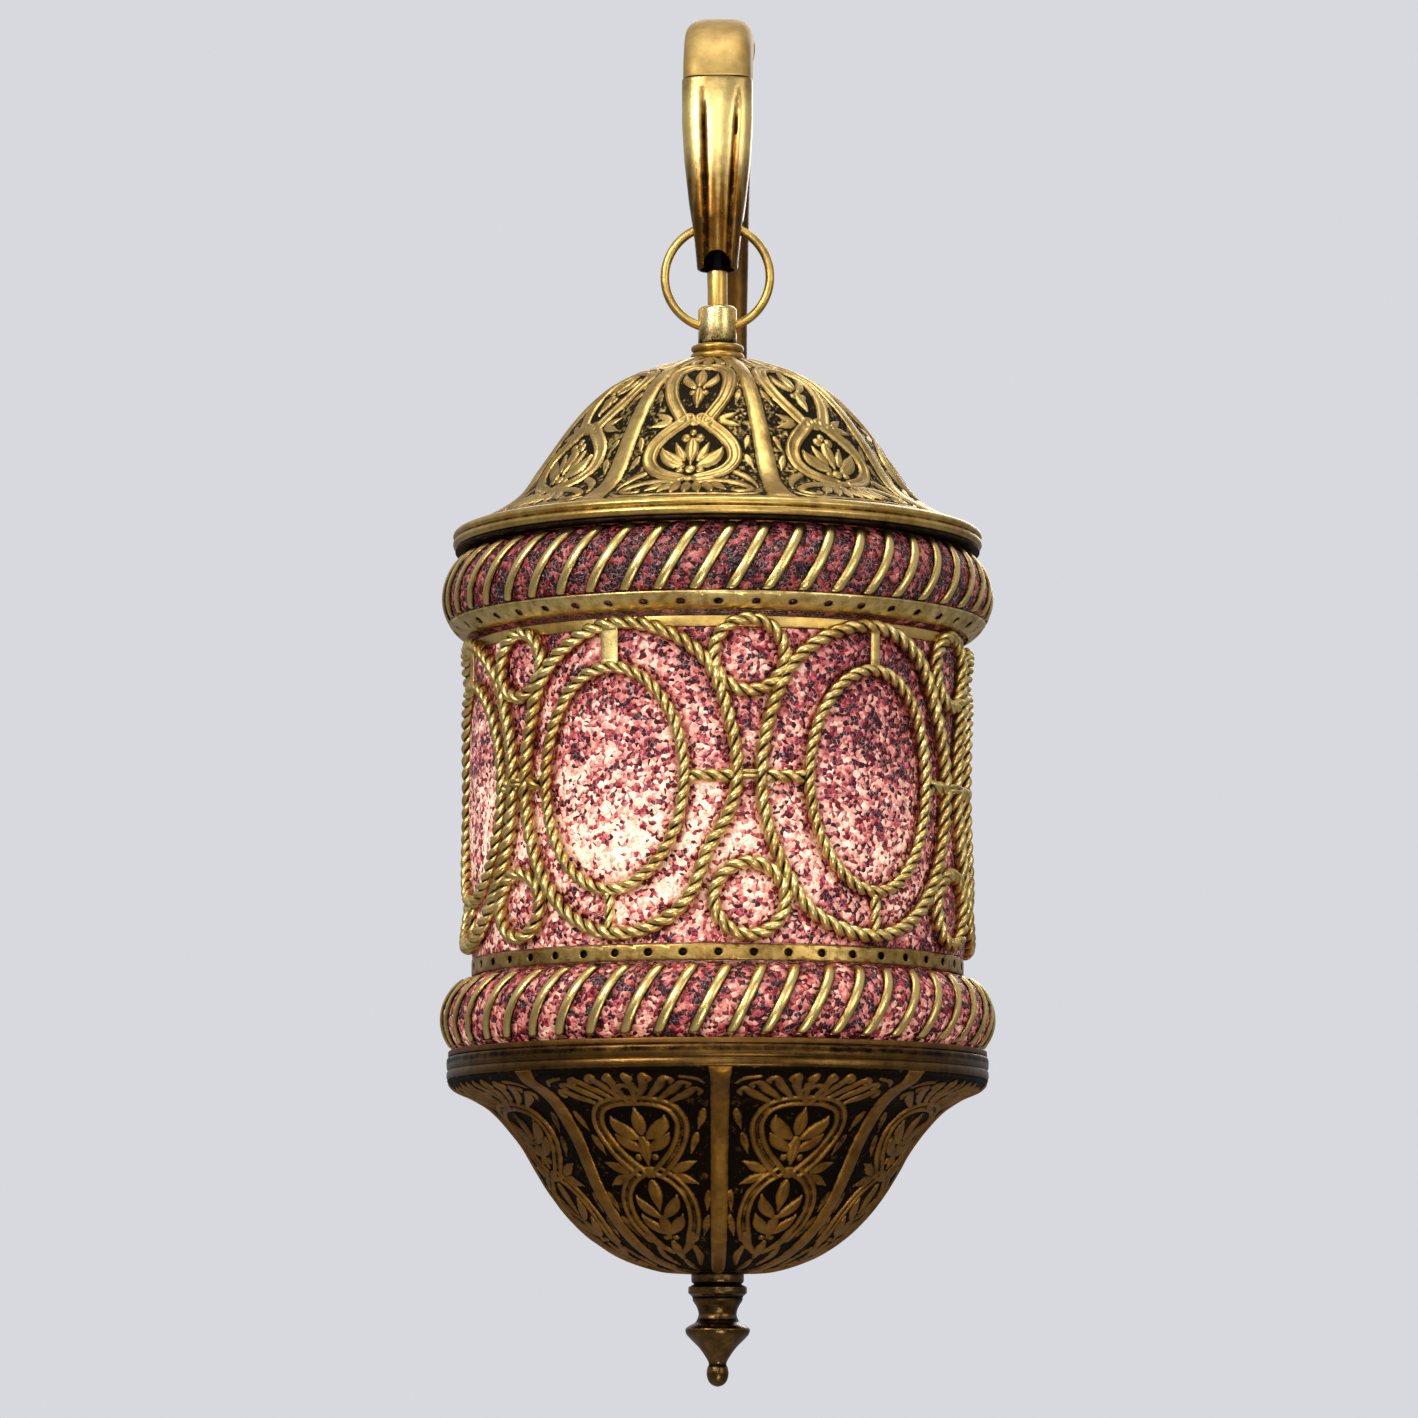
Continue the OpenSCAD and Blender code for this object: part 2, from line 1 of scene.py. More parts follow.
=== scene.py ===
import bpy, math
import numpy as np
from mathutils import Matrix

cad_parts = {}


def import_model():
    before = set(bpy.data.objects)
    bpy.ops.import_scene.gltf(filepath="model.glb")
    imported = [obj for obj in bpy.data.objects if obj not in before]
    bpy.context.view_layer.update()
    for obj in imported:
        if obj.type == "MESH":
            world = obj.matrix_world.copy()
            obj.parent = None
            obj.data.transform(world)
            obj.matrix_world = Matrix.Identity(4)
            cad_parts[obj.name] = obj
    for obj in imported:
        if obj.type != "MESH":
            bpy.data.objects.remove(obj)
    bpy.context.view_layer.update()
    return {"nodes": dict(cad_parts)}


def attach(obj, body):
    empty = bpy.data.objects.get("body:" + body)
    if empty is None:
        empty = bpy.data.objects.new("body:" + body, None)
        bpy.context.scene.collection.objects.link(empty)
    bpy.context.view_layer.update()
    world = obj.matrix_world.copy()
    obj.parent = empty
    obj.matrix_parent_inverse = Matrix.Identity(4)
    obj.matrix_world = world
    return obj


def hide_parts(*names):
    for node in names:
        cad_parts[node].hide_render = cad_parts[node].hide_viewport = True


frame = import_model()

# ----------------------------------------------------------------------------
# Frame: lantern pieces are worked out round the lantern's own axis in
# millimetres and then moved to the wall frame in metres.
# ----------------------------------------------------------------------------
P, Z0 = 0.165, 0.060
rng = np.random.default_rng(11)
pi = math.pi


def world(v):
    v = np.array(v, dtype=float) * 0.001
    v[..., 1] -= P
    v[..., 2] -= Z0
    return v


def smooth_line(pts, a=8, closed=False):
    pts = [np.array(p, float) for p in pts]
    n = len(pts)
    out = []
    last = n if closed else n - 1
    for k in range(last):
        if closed:
            p0, p1, p2, p3 = pts[(k - 1) % n], pts[k], pts[(k + 1) % n], pts[(k + 2) % n]
        else:
            p0, p1, p2, p3 = pts[max(k - 1, 0)], pts[k], pts[k + 1], pts[min(k + 2, n - 1)]
        for j in range(a):
            t = j / a
            out.append(0.5 * (2 * p1 + (p2 - p0) * t + (2 * p0 - 5 * p1 + 4 * p2 - p3) * t * t
                              + (3 * p1 - 3 * p2 + p3 - p0) * t ** 3))
    if not closed:
        out.append(pts[-1])
    return np.array(out)


def rounded(pts, r=0.5, n=4):
    """A closed outline with its corners rounded off."""
    pts = [np.array(p, float) for p in pts]
    m = len(pts)
    out = []
    for k in range(m):
        a, b, c = pts[k - 1], pts[k], pts[(k + 1) % m]
        u, v = a - b, c - b
        lu, lv = np.linalg.norm(u), np.linalg.norm(v)
        d = min(r, lu * 0.45, lv * 0.45)
        p, q = b + u / lu * d, b + v / lv * d
        for j in range(n + 1):
            t = j / n
            out.append((1 - t) ** 2 * p + 2 * t * (1 - t) * b + t * t * q)
    return np.array(out)


def resample(line, step):
    line = np.asarray(line, float)
    s = np.concatenate([[0], np.cumsum(np.linalg.norm(np.diff(line, axis=0), axis=1))])
    n = max(2, int(round(s[-1] / step)) + 1)
    t = np.linspace(0, s[-1], n)
    return np.stack([np.interp(t, s, line[:, k]) for k in range(line.shape[1])], axis=1), t


# ----------------------------------------------------------------------------
# Meshes
# ----------------------------------------------------------------------------
def make(name, verts, quads, mat, body, tris=None, smooth=True, attrs=None, replaces=(), slot=None, mm=True):
    v = world(verts) if mm else np.asarray(verts, float)
    quads = np.zeros((0, 4), int) if quads is None else np.asarray(quads, int).reshape(-1, 4)
    tris = np.zeros((0, 3), int) if tris is None else np.asarray(tris, int).reshape(-1, 3)
    me = bpy.data.meshes.new(name)
    me.vertices.add(len(v))
    me.vertices.foreach_set("co", v.astype(np.float32).ravel())
    loops = np.concatenate([quads.ravel(), tris.ravel()]).astype(np.int32)
    me.loops.add(len(loops))
    me.loops.foreach_set("vertex_index", loops)
    nq, nt = len(quads), len(tris)
    me.polygons.add(nq + nt)
    starts = np.concatenate([np.arange(nq) * 4, nq * 4 + np.arange(nt) * 3]).astype(np.int32)
    me.polygons.foreach_set("loop_start", starts)
    me.polygons.foreach_set("use_smooth", np.full(nq + nt, smooth, dtype=bool))
    me.update(calc_edges=True)
    me.validate()
    for key, val in (attrs or {}).items():
        at = me.attributes.new(key, 'FLOAT', 'POINT')
        at.data.foreach_set("value", np.asarray(val, np.float32).ravel())
    ob = bpy.data.objects.new(name, me)
    bpy.context.scene.collection.objects.link(ob)
    me.materials.append(mat)
    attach(ob, body)
    if replaces:
        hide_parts(*replaces)
    return ob


def grid_quads(nu, nv, close_u=False, close_v=False, flip=False, base=0):
    """Quads of a grid whose vertex (i, j) has index i * nv + j."""
    iu = np.arange(nu if close_u else nu - 1)
    jv = np.arange(nv if close_v else nv - 1)
    I, J = np.meshgrid(iu, jv, indexing="ij")
    I2, J2 = (I + 1) % nu, (J + 1) % nv
    q = np.stack([I * nv + J, I2 * nv + J, I2 * nv + J2, I * nv + J2], axis=-1).reshape(-1, 4) + base
    return q[:, ::-1] if flip else q


class Batch:
    """Several closed pieces of one material gathered in one mesh."""

    def __init__(self):
        self.v, self.q, self.t, self.n, self.a = [], [], [], 0, {}

    def add(self, v, q=None, t=None, **attrs):
        v = np.asarray(v, float).reshape(-1, 3)
        if q is not None and len(q):
            self.q.append(np.asarray(q, int) + self.n)
        if t is not None and len(t):
            self.t.append(np.asarray(t, int) + self.n)
        for k, val in attrs.items():
            self.a.setdefault(k, []).append(np.broadcast_to(np.asarray(val, float), (len(v),)).copy())
        self.v.append(v)
        self.n += len(v)

    def object(self, name, mat, body, **kw):
        return make(name, np.concatenate(self.v), np.concatenate(self.q) if self.q else None, mat, body,
                    tris=np.concatenate(self.t) if self.t else None,
                    attrs={k: np.concatenate(x) for k, x in self.a.items()}, **kw)


def lathe(prof, n=128, closed=True, wobble=None, flip=False):
    """Turned solid: a closed outline of (r, z) round the lantern's axis."""
    prof = np.asarray(prof, float)
    m = len(prof)
    ph = np.arange(n) * 2 * pi / n
    R = prof[None, :, 0] + np.zeros((n, 1))
    Zc = prof[None, :, 1] + np.zeros((n, 1))
    if wobble is not None:
        dr, dz = wobble(ph[:, None], prof[None, :, 0], prof[None, :, 1])
        R = R + dr
        Zc = Zc + dz
    v = np.stack([R * np.sin(ph)[:, None], -R * np.cos(ph)[:, None], Zc], axis=-1).reshape(-1, 3)
    q = grid_quads(n, m, close_u=True, close_v=closed, flip=flip)
    return v, q


def lathe_axis(prof, n=96):
    """Turned solid whose outline starts and ends on the axis."""
    prof = np.asarray(prof, float)
    body = prof[1:-1]
    m = len(body)
    ph = np.arange(n) * 2 * pi / n
    v = np.stack([body[None, :, 0] * np.sin(ph)[:, None], -body[None, :, 0] * np.cos(ph)[:, None],
                  body[None, :, 1] + 0 * ph[:, None]], axis=-1).reshape(-1, 3)
    q = grid_quads(n, m, close_u=True)
    a, b = len(v), len(v) + 1
    v = np.concatenate([v, [[0, 0, prof[0, 1]], [0, 0, prof[-1, 1]]]])
    i = np.arange(n)
    j = (i + 1) % n
    t = np.concatenate([np.stack([np.full(n, a), j * m, i * m], 1), np.stack([np.full(n, b), i * m + m - 1, j * m + m - 1], 1)])
    return v, q, t


def orient(v, q, t=None):
    """Turns the faces outwards, judged by the sign of the closed mesh's volume."""
    v = np.asarray(v, float)
    vol = 0.0
    if q is not None and len(q):
        a, b, c, d = (v[q[:, k]] for k in range(4))
        vol += np.einsum("ij,ij->i", a, np.cross(b, c)).sum() + np.einsum("ij,ij->i", a, np.cross(c, d)).sum()
    if t is not None and len(t):
        a, b, c = (v[t[:, k]] for k in range(3))
        vol += np.einsum("ij,ij->i", a, np.cross(b, c)).sum()
    if vol < 0:
        q = None if q is None else q[:, ::-1]
        t = None if t is None else t[:, ::-1]
    return q, t


def tube(path, normal, section, closed=False, scale=None, twist=None):
    """Sweeps a closed section (n, b coordinates) along a path. normal gives the section's first axis."""
    path = np.asarray(path, float)
    n = len(path)
    tan = np.roll(path, -1, 0) - np.roll(path, 1, 0) if closed else np.gradient(path, axis=0)
    tan /= np.linalg.norm(tan, axis=1, keepdims=True)
    nor = np.asarray(normal, float) - (np.asarray(normal, float) * tan).sum(1, keepdims=True) * tan
    nor /= np.linalg.norm(nor, axis=1, keepdims=True)
    bi = np.cross(tan, nor)
    sec = np.asarray(section, float)
    if sec.ndim == 2:
        sec = np.broadcast_to(sec, (n,) + sec.shape)
    if scale is not None:
        sec = sec * np.asarray(scale, float).reshape(n, 1, -1)
    if twist is not None:
        c, s = np.cos(twist)[:, None], np.sin(twist)[:, None]
        sec = np.stack([sec[..., 0] * c - sec[..., 1] * s, sec[..., 0] * s + sec[..., 1] * c], -1)
    v = path[:, None, :] + sec[..., 0:1] * nor[:, None, :] + sec[..., 1:2] * bi[:, None, :]
    m = sec.shape[1]
    q = grid_quads(n, m, close_u=closed, close_v=True)
    v = v.reshape(-1, 3)
    t = None
    if not closed:
        a, b = len(v), len(v) + 1
        v = np.concatenate([v, [v[:m].mean(0)], [v[-m:].mean(0)]])
        v[a], v[b] = v[:m].mean(0), v[(n - 1) * m:n * m].mean(0)
        i = np.arange(m)
        j = (i + 1) % m
        t = np.concatenate([np.stack([np.full(m, a), j, i], 1),
                            np.stack([np.full(m, b), (n - 1) * m + i, (n - 1) * m + j], 1)])
    q, t = orient(v, q, t)
    return v, q, t


def circle(r, n=12, ry=None):
    a = np.arange(n) * 2 * pi / n
    return np.stack([r * np.cos(a), (ry or r) * np.sin(a)], 1)


def value_noise(x, y, seed, period=None):
    """Smooth repeatable noise between -1 and 1 on a plane."""
    r = np.random.default_rng(seed)
    tab = r.random((256, 256)) * 2 - 1
    xi, yi = np.floor(x).astype(int), np.floor(y).astype(int)
    fx, fy = x - xi, y - yi
    fx, fy = fx * fx * (3 - 2 * fx), fy * fy * (3 - 2 * fy)
    wrap = (lambda i: i % period % 256) if period else (lambda i: i % 256)
    a, b = tab[wrap(xi), yi % 256], tab[wrap(xi + 1), yi % 256]
    c, d = tab[wrap(xi), (yi + 1) % 256], tab[wrap(xi + 1), (yi + 1) % 256]
    return (a * (1 - fx) + b * fx) * (1 - fy) + (c * (1 - fx) + d * fx) * fy


# ----------------------------------------------------------------------------
# Materials
# ----------------------------------------------------------------------------
class Nodes:
    def __init__(self, name):
        self.m = bpy.data.materials.new("look_" + name)
        self.m.use_nodes = True
        self.nt = self.m.node_tree
        self.bsdf = self.nt.nodes["Principled BSDF"]
        self.coord = self.nt.nodes.new("ShaderNodeTexCoord").outputs["Object"]

    def link(self, a, b):
        self.nt.links.new(a, b)

    def _set(self, sock, val):
        if isinstance(val, bpy.types.NodeSocket):
            self.link(val, sock)
        elif val is not None:
            sock.default_value = val

    def math(self, op, a, b=None, clamp=False, c=None):
        n = self.nt.nodes.new("ShaderNodeMath")
        n.operation = op
        n.use_clamp = clamp
        self._set(n.inputs[0], a)
        self._set(n.inputs[1], b)
        self._set(n.inputs[2], c)
        return n.outputs[0]

    def noise(self, scale, detail=3, rough=0.55, vec=None, dist=0.0):
        n = self.nt.nodes.new("ShaderNodeTexNoise")
        n.inputs["Scale"].default_value = scale
        n.inputs["Detail"].default_value = detail
        n.inputs["Roughness"].default_value = rough
        n.inputs["Distortion"].default_value = dist
        self.link(vec or self.coord, n.inputs["Vector"])
        return n.outputs["Fac"]

    def voronoi(self, scale, feature='F1', out="Distance", vec=None, rand=1.0, metric=None):
        n = self.nt.nodes.new("ShaderNodeTexVoronoi")
        n.feature = feature
        if metric:
            n.distance = metric
        n.inputs["Scale"].default_value = scale
        n.inputs["Randomness"].default_value = rand
        self.link(vec or self.coord, n.inputs["Vector"])
        return n.outputs[out]

    def ramp(self, fac, stops, interp='LINEAR'):
        n = self.nt.nodes.new("ShaderNodeValToRGB")
        n.color_ramp.interpolation = interp
        el = n.color_ramp.elements
        while len(el) > 1:
            el.remove(el[-1])
        for k, (p, c) in enumerate(stops):
            e = el[0] if k == 0 else el.new(p)
            e.position = p
            c = (c, c, c) if isinstance(c, (int, float)) else c
            e.color = (c[0], c[1], c[2], 1)
        self.link(fac, n.inputs[0])
        return n.outputs[0]

    def mix(self, fac, a, b, blend='MIX'):
        n = self.nt.nodes.new("ShaderNodeMix")
        n.data_type = 'RGBA'
        n.blend_type = blend
        n.clamp_factor = True
        self._set(n.inputs[0], fac)
        for sock, val in ((n.inputs[6], a), (n.inputs[7], b)):
            if isinstance(val, tuple):
                sock.default_value = (val[0], val[1], val[2], 1)
            else:
                self._set(sock, val)
        return n.outputs[2]

    def attr(self, name):
        n = self.nt.nodes.new("ShaderNodeAttribute")
        n.attribute_name = name
        return n.outputs["Fac"]

    def axis(self, k):
        n = self.nt.nodes.new("ShaderNodeSeparateXYZ")
        self.link(self.coord, n.inputs[0])
        return n.outputs[k]

    def bump(self, height, strength, distance):
        n = self.nt.nodes.new("ShaderNodeBump")
        n.inputs["Strength"].default_value = strength
        n.inputs["Distance"].default_value = distance
        self.link(height, n.inputs["Height"])
        return n.outputs["Normal"]

    def put(self, **kw):
        for k, val in kw.items():
            s = self.bsdf.inputs[k.replace("_", " ")]
            if isinstance(val, tuple):
                s.default_value = (val[0], val[1], val[2], 1) if len(val) == 3 and s.type == 'RGBA' else val
            else:
                self._set(s, val)
        return self.m


def srgb(r, g, b):
    def f(c):
        c /= 255
        return c / 12.92 if c <= 0.04045 else ((c + 0.055) / 1.055) ** 2.4
    return (f(r), f(g), f(b))


def brass(name, high, mid, low, relief=True, rough=(0.28, 0.55), patina=0.35, fine=1.0, metal=1.0, edge=0.30, by_relief=False):
    """Aged brass: the relief value (0 in recesses, 1 on high spots) sets how much black patina is left; on the beak, on
    the rib crests and beside tall cast shapes it also carries painted highlight and painted shade, and with by_relief
    it sets the colour too.
    """
    k = Nodes(name)
    big = k.noise(38, 4, 0.6)
    mid_n = k.noise(210, 4, 0.6)
    tiny = k.noise(1500 * fine, 3, 0.6)
    tone = k.math('ADD', k.math('MULTIPLY', big, 0.55), k.math('MULTIPLY', mid_n, 0.45))
    col = k.ramp(tone, [(0.36, mid), (0.50, tuple(0.5 * (a + b) for a, b in zip(mid, high))), (0.64, high)])
    if relief:
        r = k.attr("relief")
    else:
        r = k.math('ADD', 0.75, 0.0)
    if by_relief:
        col = k.ramp(k.math('ADD', r, k.math('MULTIPLY', k.math('SUBTRACT', mid_n, 0.5), 0.45)), [(0.36, mid), (0.62, tuple(0.6 * a + 0.4 * b for a, b in zip(mid, high))), (0.92, high)])
    wear = k.math('ADD', r, k.math('MULTIPLY', k.math('SUBTRACT', mid_n, 0.5), 0.9))
    wear = k.math('ADD', wear, k.math('MULTIPLY', k.math('SUBTRACT', tiny, 0.5), 0.5))
    mask = k.ramp(wear, [(edge, 1.0), (edge + patina, 0.0)])
    col = k.mix(mask, col, low)
    speck = k.ramp(k.voronoi(620, out="Distance"), [(0.10, 0.55), (0.22, 1.0)])
    col = k.mix(0.35, col, speck, 'MULTIPLY')
    ro = k.math('ADD', rough[0], k.math('MULTIPLY', k.math('ADD', mask, k.math('MULTIPLY', tiny, 0.5)), rough[1] - rough[0]))
    bmp = k.bump(k.math('ADD', k.math('MULTIPLY', tiny, 0.4), k.math('MULTIPLY', mid_n, 0.6)), 0.35, 0.0006)
    return k.put(Base_Color=col, Metallic=metal, Roughness=ro, Normal=bmp)


GOLD_HI, GOLD_MID, GOLD_LOW = srgb(236, 206, 132), srgb(186, 148, 72), srgb(34, 26, 16)
M_brass = brass("antique_brass", srgb(226, 192, 112), srgb(170, 130, 60), srgb(44, 30, 12), rough=(0.27, 0.55), patina=0.45, edge=0.14)
M_rope = brass("rope_brass", srgb(252, 228, 152), srgb(198, 158, 80), srgb(30, 18, 6), rough=(0.24, 0.55), patina=0.60, edge=0.36)
M_arm = brass("arm_brass", srgb(222, 186, 104), srgb(168, 130, 60), srgb(58, 40, 14), rough=(0.28, 0.52), patina=0.5, edge=0.06)
M_crown = brass("tan_brass", srgb(196, 164, 96), srgb(160, 128, 68), srgb(108, 82, 38), rough=(0.48, 0.66), patina=0.6, edge=0.12, metal=0.75)
M_beak = brass("beak_brass", srgb(246, 218, 140), srgb(112, 74, 26), srgb(40, 24, 8), rough=(0.25, 0.50), patina=0.28, edge=-0.02, by_relief=True)
M_rib = brass("rib_brass", srgb(240, 210, 132), srgb(146, 106, 46), srgb(28, 17, 7), rough=(0.22, 0.50), patina=0.42, edge=0.24, by_relief=True)
# the ring cap's brass is lighter than the rest: partly less patina, partly a painted highlight
M_cap = brass("cap_brass", srgb(252, 232, 166), srgb(206, 168, 92), srgb(48, 32, 12), rough=(0.20, 0.45), patina=0.45, edge=0.16)
M_strip = brass("strip_brass", srgb(216, 182, 106), srgb(160, 120, 56), srgb(34, 22, 9), rough=(0.27, 0.55), patina=0.62, edge=0.36)
M_leg = brass("shaded_brass", srgb(122, 86, 40), srgb(86, 58, 24), srgb(32, 20, 8), rough=(0.34, 0.58), patina=0.5, edge=0.12)
M_rim = brass("rim_bronze", srgb(124, 90, 44), srgb(78, 54, 24), srgb(14, 11, 7), rough=(0.24, 0.45), patina=0.5, edge=0.18)
M_fin = brass("finial_bronze", srgb(140, 108, 62), srgb(58, 41, 20), srgb(12, 9, 6), rough=(0.16, 0.40), patina=0.5, edge=0.26)
M_dome = brass("aged_brass", srgb(218, 186, 114), srgb(156, 124, 66), srgb(38, 32, 22), rough=(0.30, 0.62), patina=0.34, edge=0.14)
M_bowl = brass("dark_bronze", srgb(170, 122, 52), srgb(108, 73, 28), srgb(26, 19, 11), rough=(0.35, 0.62), patina=0.36, edge=0.16)
M_bowl_plain = brass("dark_bronze_plain", srgb(138, 100, 48), srgb(92, 64, 28), srgb(22, 16, 9), rough=(0.40, 0.62), patina=0.5, edge=0.14)
# plain black, for the ring under the dome rim and, as painted shade, behind the lower strip's holes
M_black = brass("black_patina", srgb(60, 48, 30), srgb(26, 21, 15), srgb(8, 7, 6), relief=False, rough=(0.45, 0.7), patina=0.5, edge=0.4)


def steel():
    k = Nodes("zinc_steel")
    n = k.noise(420, 4, 0.6)
    return k.put(Base_Color=k.ramp(n, [(0.35, srgb(150, 150, 146)), (0.65, srgb(205, 205, 200))]), Metallic=1.0,
                 Roughness=k.math('ADD', 0.28, k.math('MULTIPLY', n, 0.2)), Normal=k.bump(n, 0.2, 0.0004))


def plastic(name, a, b, rough):
    k = Nodes(name)
    n = k.noise(900, 3, 0.6)
    return k.put(Base_Color=k.ramp(n, [(0.3, a), (0.7, b)]), Roughness=k.math('ADD', rough, k.math('MULTIPLY', n, 0.1)),
                 Normal=k.bump(n, 0.15, 0.0003))


M_steel = steel()
M_blackp = plastic("black_plastic", srgb(22, 22, 23), srgb(34, 34, 35), 0.42)
M_white = plastic("white_plastic", srgb(222, 219, 208), srgb(236, 233, 224), 0.22)


def glass(name, glow_z, glow_r, base_glow, peak, dark, rope_shadow_tint, tint=(1, 1, 1), side=0.0):
    """Crushed-glass crackle in cells of burgundy, rose, pink and white; the lamp light from inside is painted on as
    emission glow.
    """
    k = Nodes(name)
    warp = k.nt.nodes.new("ShaderNodeVectorMath")
    warp.operation = 'ADD'
    nz = k.nt.nodes.new("ShaderNodeTexNoise")
    nz.inputs["Scale"].default_value = 260
    nz.inputs["Detail"].default_value = 2
    k.link(k.coord, nz.inputs["Vector"])
    sc = k.nt.nodes.new("ShaderNodeVectorMath")
    sc.operation = 'SCALE'
    sc.inputs["Scale"].default_value = 0.0022
    k.link(nz.outputs["Color"], sc.inputs[0])
    k.link(k.coord, warp.inputs[0])
    k.link(sc.outputs[0], warp.inputs[1])
    vec = warp.outputs[0]
    cell = k.nt.nodes.new("ShaderNodeTexVoronoi")
    cell.inputs["Scale"].default_value = 620
    k.link(vec, cell.inputs["Vector"])
    sep = k.nt.nodes.new("ShaderNodeSeparateColor")
    k.link(cell.outputs["Color"], sep.inputs[0])
    rnd = sep.outputs[0]
    rnd2 = sep.outputs[1]
    edge = k.voronoi(620, 'DISTANCE_TO_EDGE', "Distance", vec)
    cluster = k.noise(75, 3, 0.6)
    cluster2 = k.noise(190, 3, 0.65)
    # painted light: an emission glow standing in for the lamp shining through the glass, by height and by how near the
    # lamp's own height a point is
    zz = k.axis(2)
    d = k.math('ABSOLUTE', k.math('SUBTRACT', zz, glow_z))
    g = k.math('SUBTRACT', 1.0, k.math('MULTIPLY', d, 1.0 / glow_r), clamp=True)
    g = k.math('MULTIPLY', g, g)
    soft = k.noise(22, 2, 0.5)
    g = k.math('MULTIPLY', g, k.math('ADD', 0.35, k.math('MULTIPLY', soft, 1.3)))
    v = k.math('ADD', k.math('MULTIPLY', rnd, 0.86), k.math('MULTIPLY', k.math('SUBTRACT', cluster2, 0.5), 1.15))
    v = k.math('ADD', v, k.math('MULTIPLY', k.math('SUBTRACT', cluster, 0.5), 1.1))
    v = k.math('ADD', v, k.math('MULTIPLY', g, 0.30))
    v = k.math('ADD', v, -dark - 0.10)
    # painted shade: the glass is darker and glows less towards +x, the lantern's right side
    painted_side_shade = k.ramp(k.axis(0), [(0.030, 0.0), (0.085, 1.0)])
    v = k.math('SUBTRACT', v, k.math('MULTIPLY', painted_side_shade, side))
    col = k.ramp(v, [(0.0, srgb(52, 8, 20)), (0.14, srgb(112, 20, 36)), (0.28, srgb(172, 62, 68)), (0.45, srgb(214, 118, 110)),
                     (0.63, srgb(238, 172, 154)), (0.82, srgb(255, 224, 202)), (1.0, srgb(255, 246, 230))])
    col = k.mix(1.0, col, tint, 'MULTIPLY')
    # thin bright cracks between some grains
    crack = k.ramp(edge, [(0.0, 1.0), (0.055, 0.0)])
    crack = k.math('MULTIPLY', crack, k.ramp(rnd2, [(0.45, 0.0), (0.75, 1.0)]))
    col = k.mix(k.math('MULTIPLY', crack, 0.55), col, srgb(255, 226, 220))
    # painted shadow: next to the ropes and ribs the glass is tinted warm and darker and its glow is cut, standing in
    # for their shadow
    rope = k.attr("near")
    col = k.mix(k.math('MULTIPLY', rope, 0.92), col, k.mix(0.85, col, rope_shadow_tint, 'MULTIPLY'))
    glow = k.math('ADD', base_glow, k.math('MULTIPLY', g, peak))
    glow = k.math('MULTIPLY', glow, k.math('SUBTRACT', 1.0, k.math('MULTIPLY', rope, 0.6)))
    glow = k.math('MULTIPLY', glow, k.math('SUBTRACT', 1.0, k.math('MULTIPLY', painted_side_shade, side * 1.6)))
    # painted light: the glow pool also lightens the glass colour towards pale cream
    col = k.mix(k.math('MULTIPLY', k.math('MULTIPLY', g, 0.50), k.ramp(v, [(0.30, 0.0), (0.62, 1.0)])), col, srgb(252, 220, 184))
    grain = k.math('ADD', k.math('MULTIPLY', edge, 2.0), k.math('MULTIPLY', rnd, 0.6))
    return k.put(Base_Color=col, Roughness=k.math('ADD', 0.16, k.math('MULTIPLY', rnd2, 0.25)), Specular_IOR_Level=0.35,
                 Emission_Color=col, Emission_Strength=glow, Normal=k.bump(grain, 0.55, 0.0009))


M_glass = glass("rose_crackle_glass", -0.122, 0.110, 0.19, 0.36, 0.11, srgb(176, 78, 22), side=0.26)
M_glass_up = glass("mauve_crackle_glass", -0.17, 0.14, 0.08, 0.18, 0.26, srgb(120, 60, 40), (0.70, 0.46, 0.47))
M_glass_low = glass("salmon_crackle_glass", -0.215, 0.060, 0.12, 0.38, 0.19, srgb(140, 60, 36), (1.0, 0.86, 0.80))

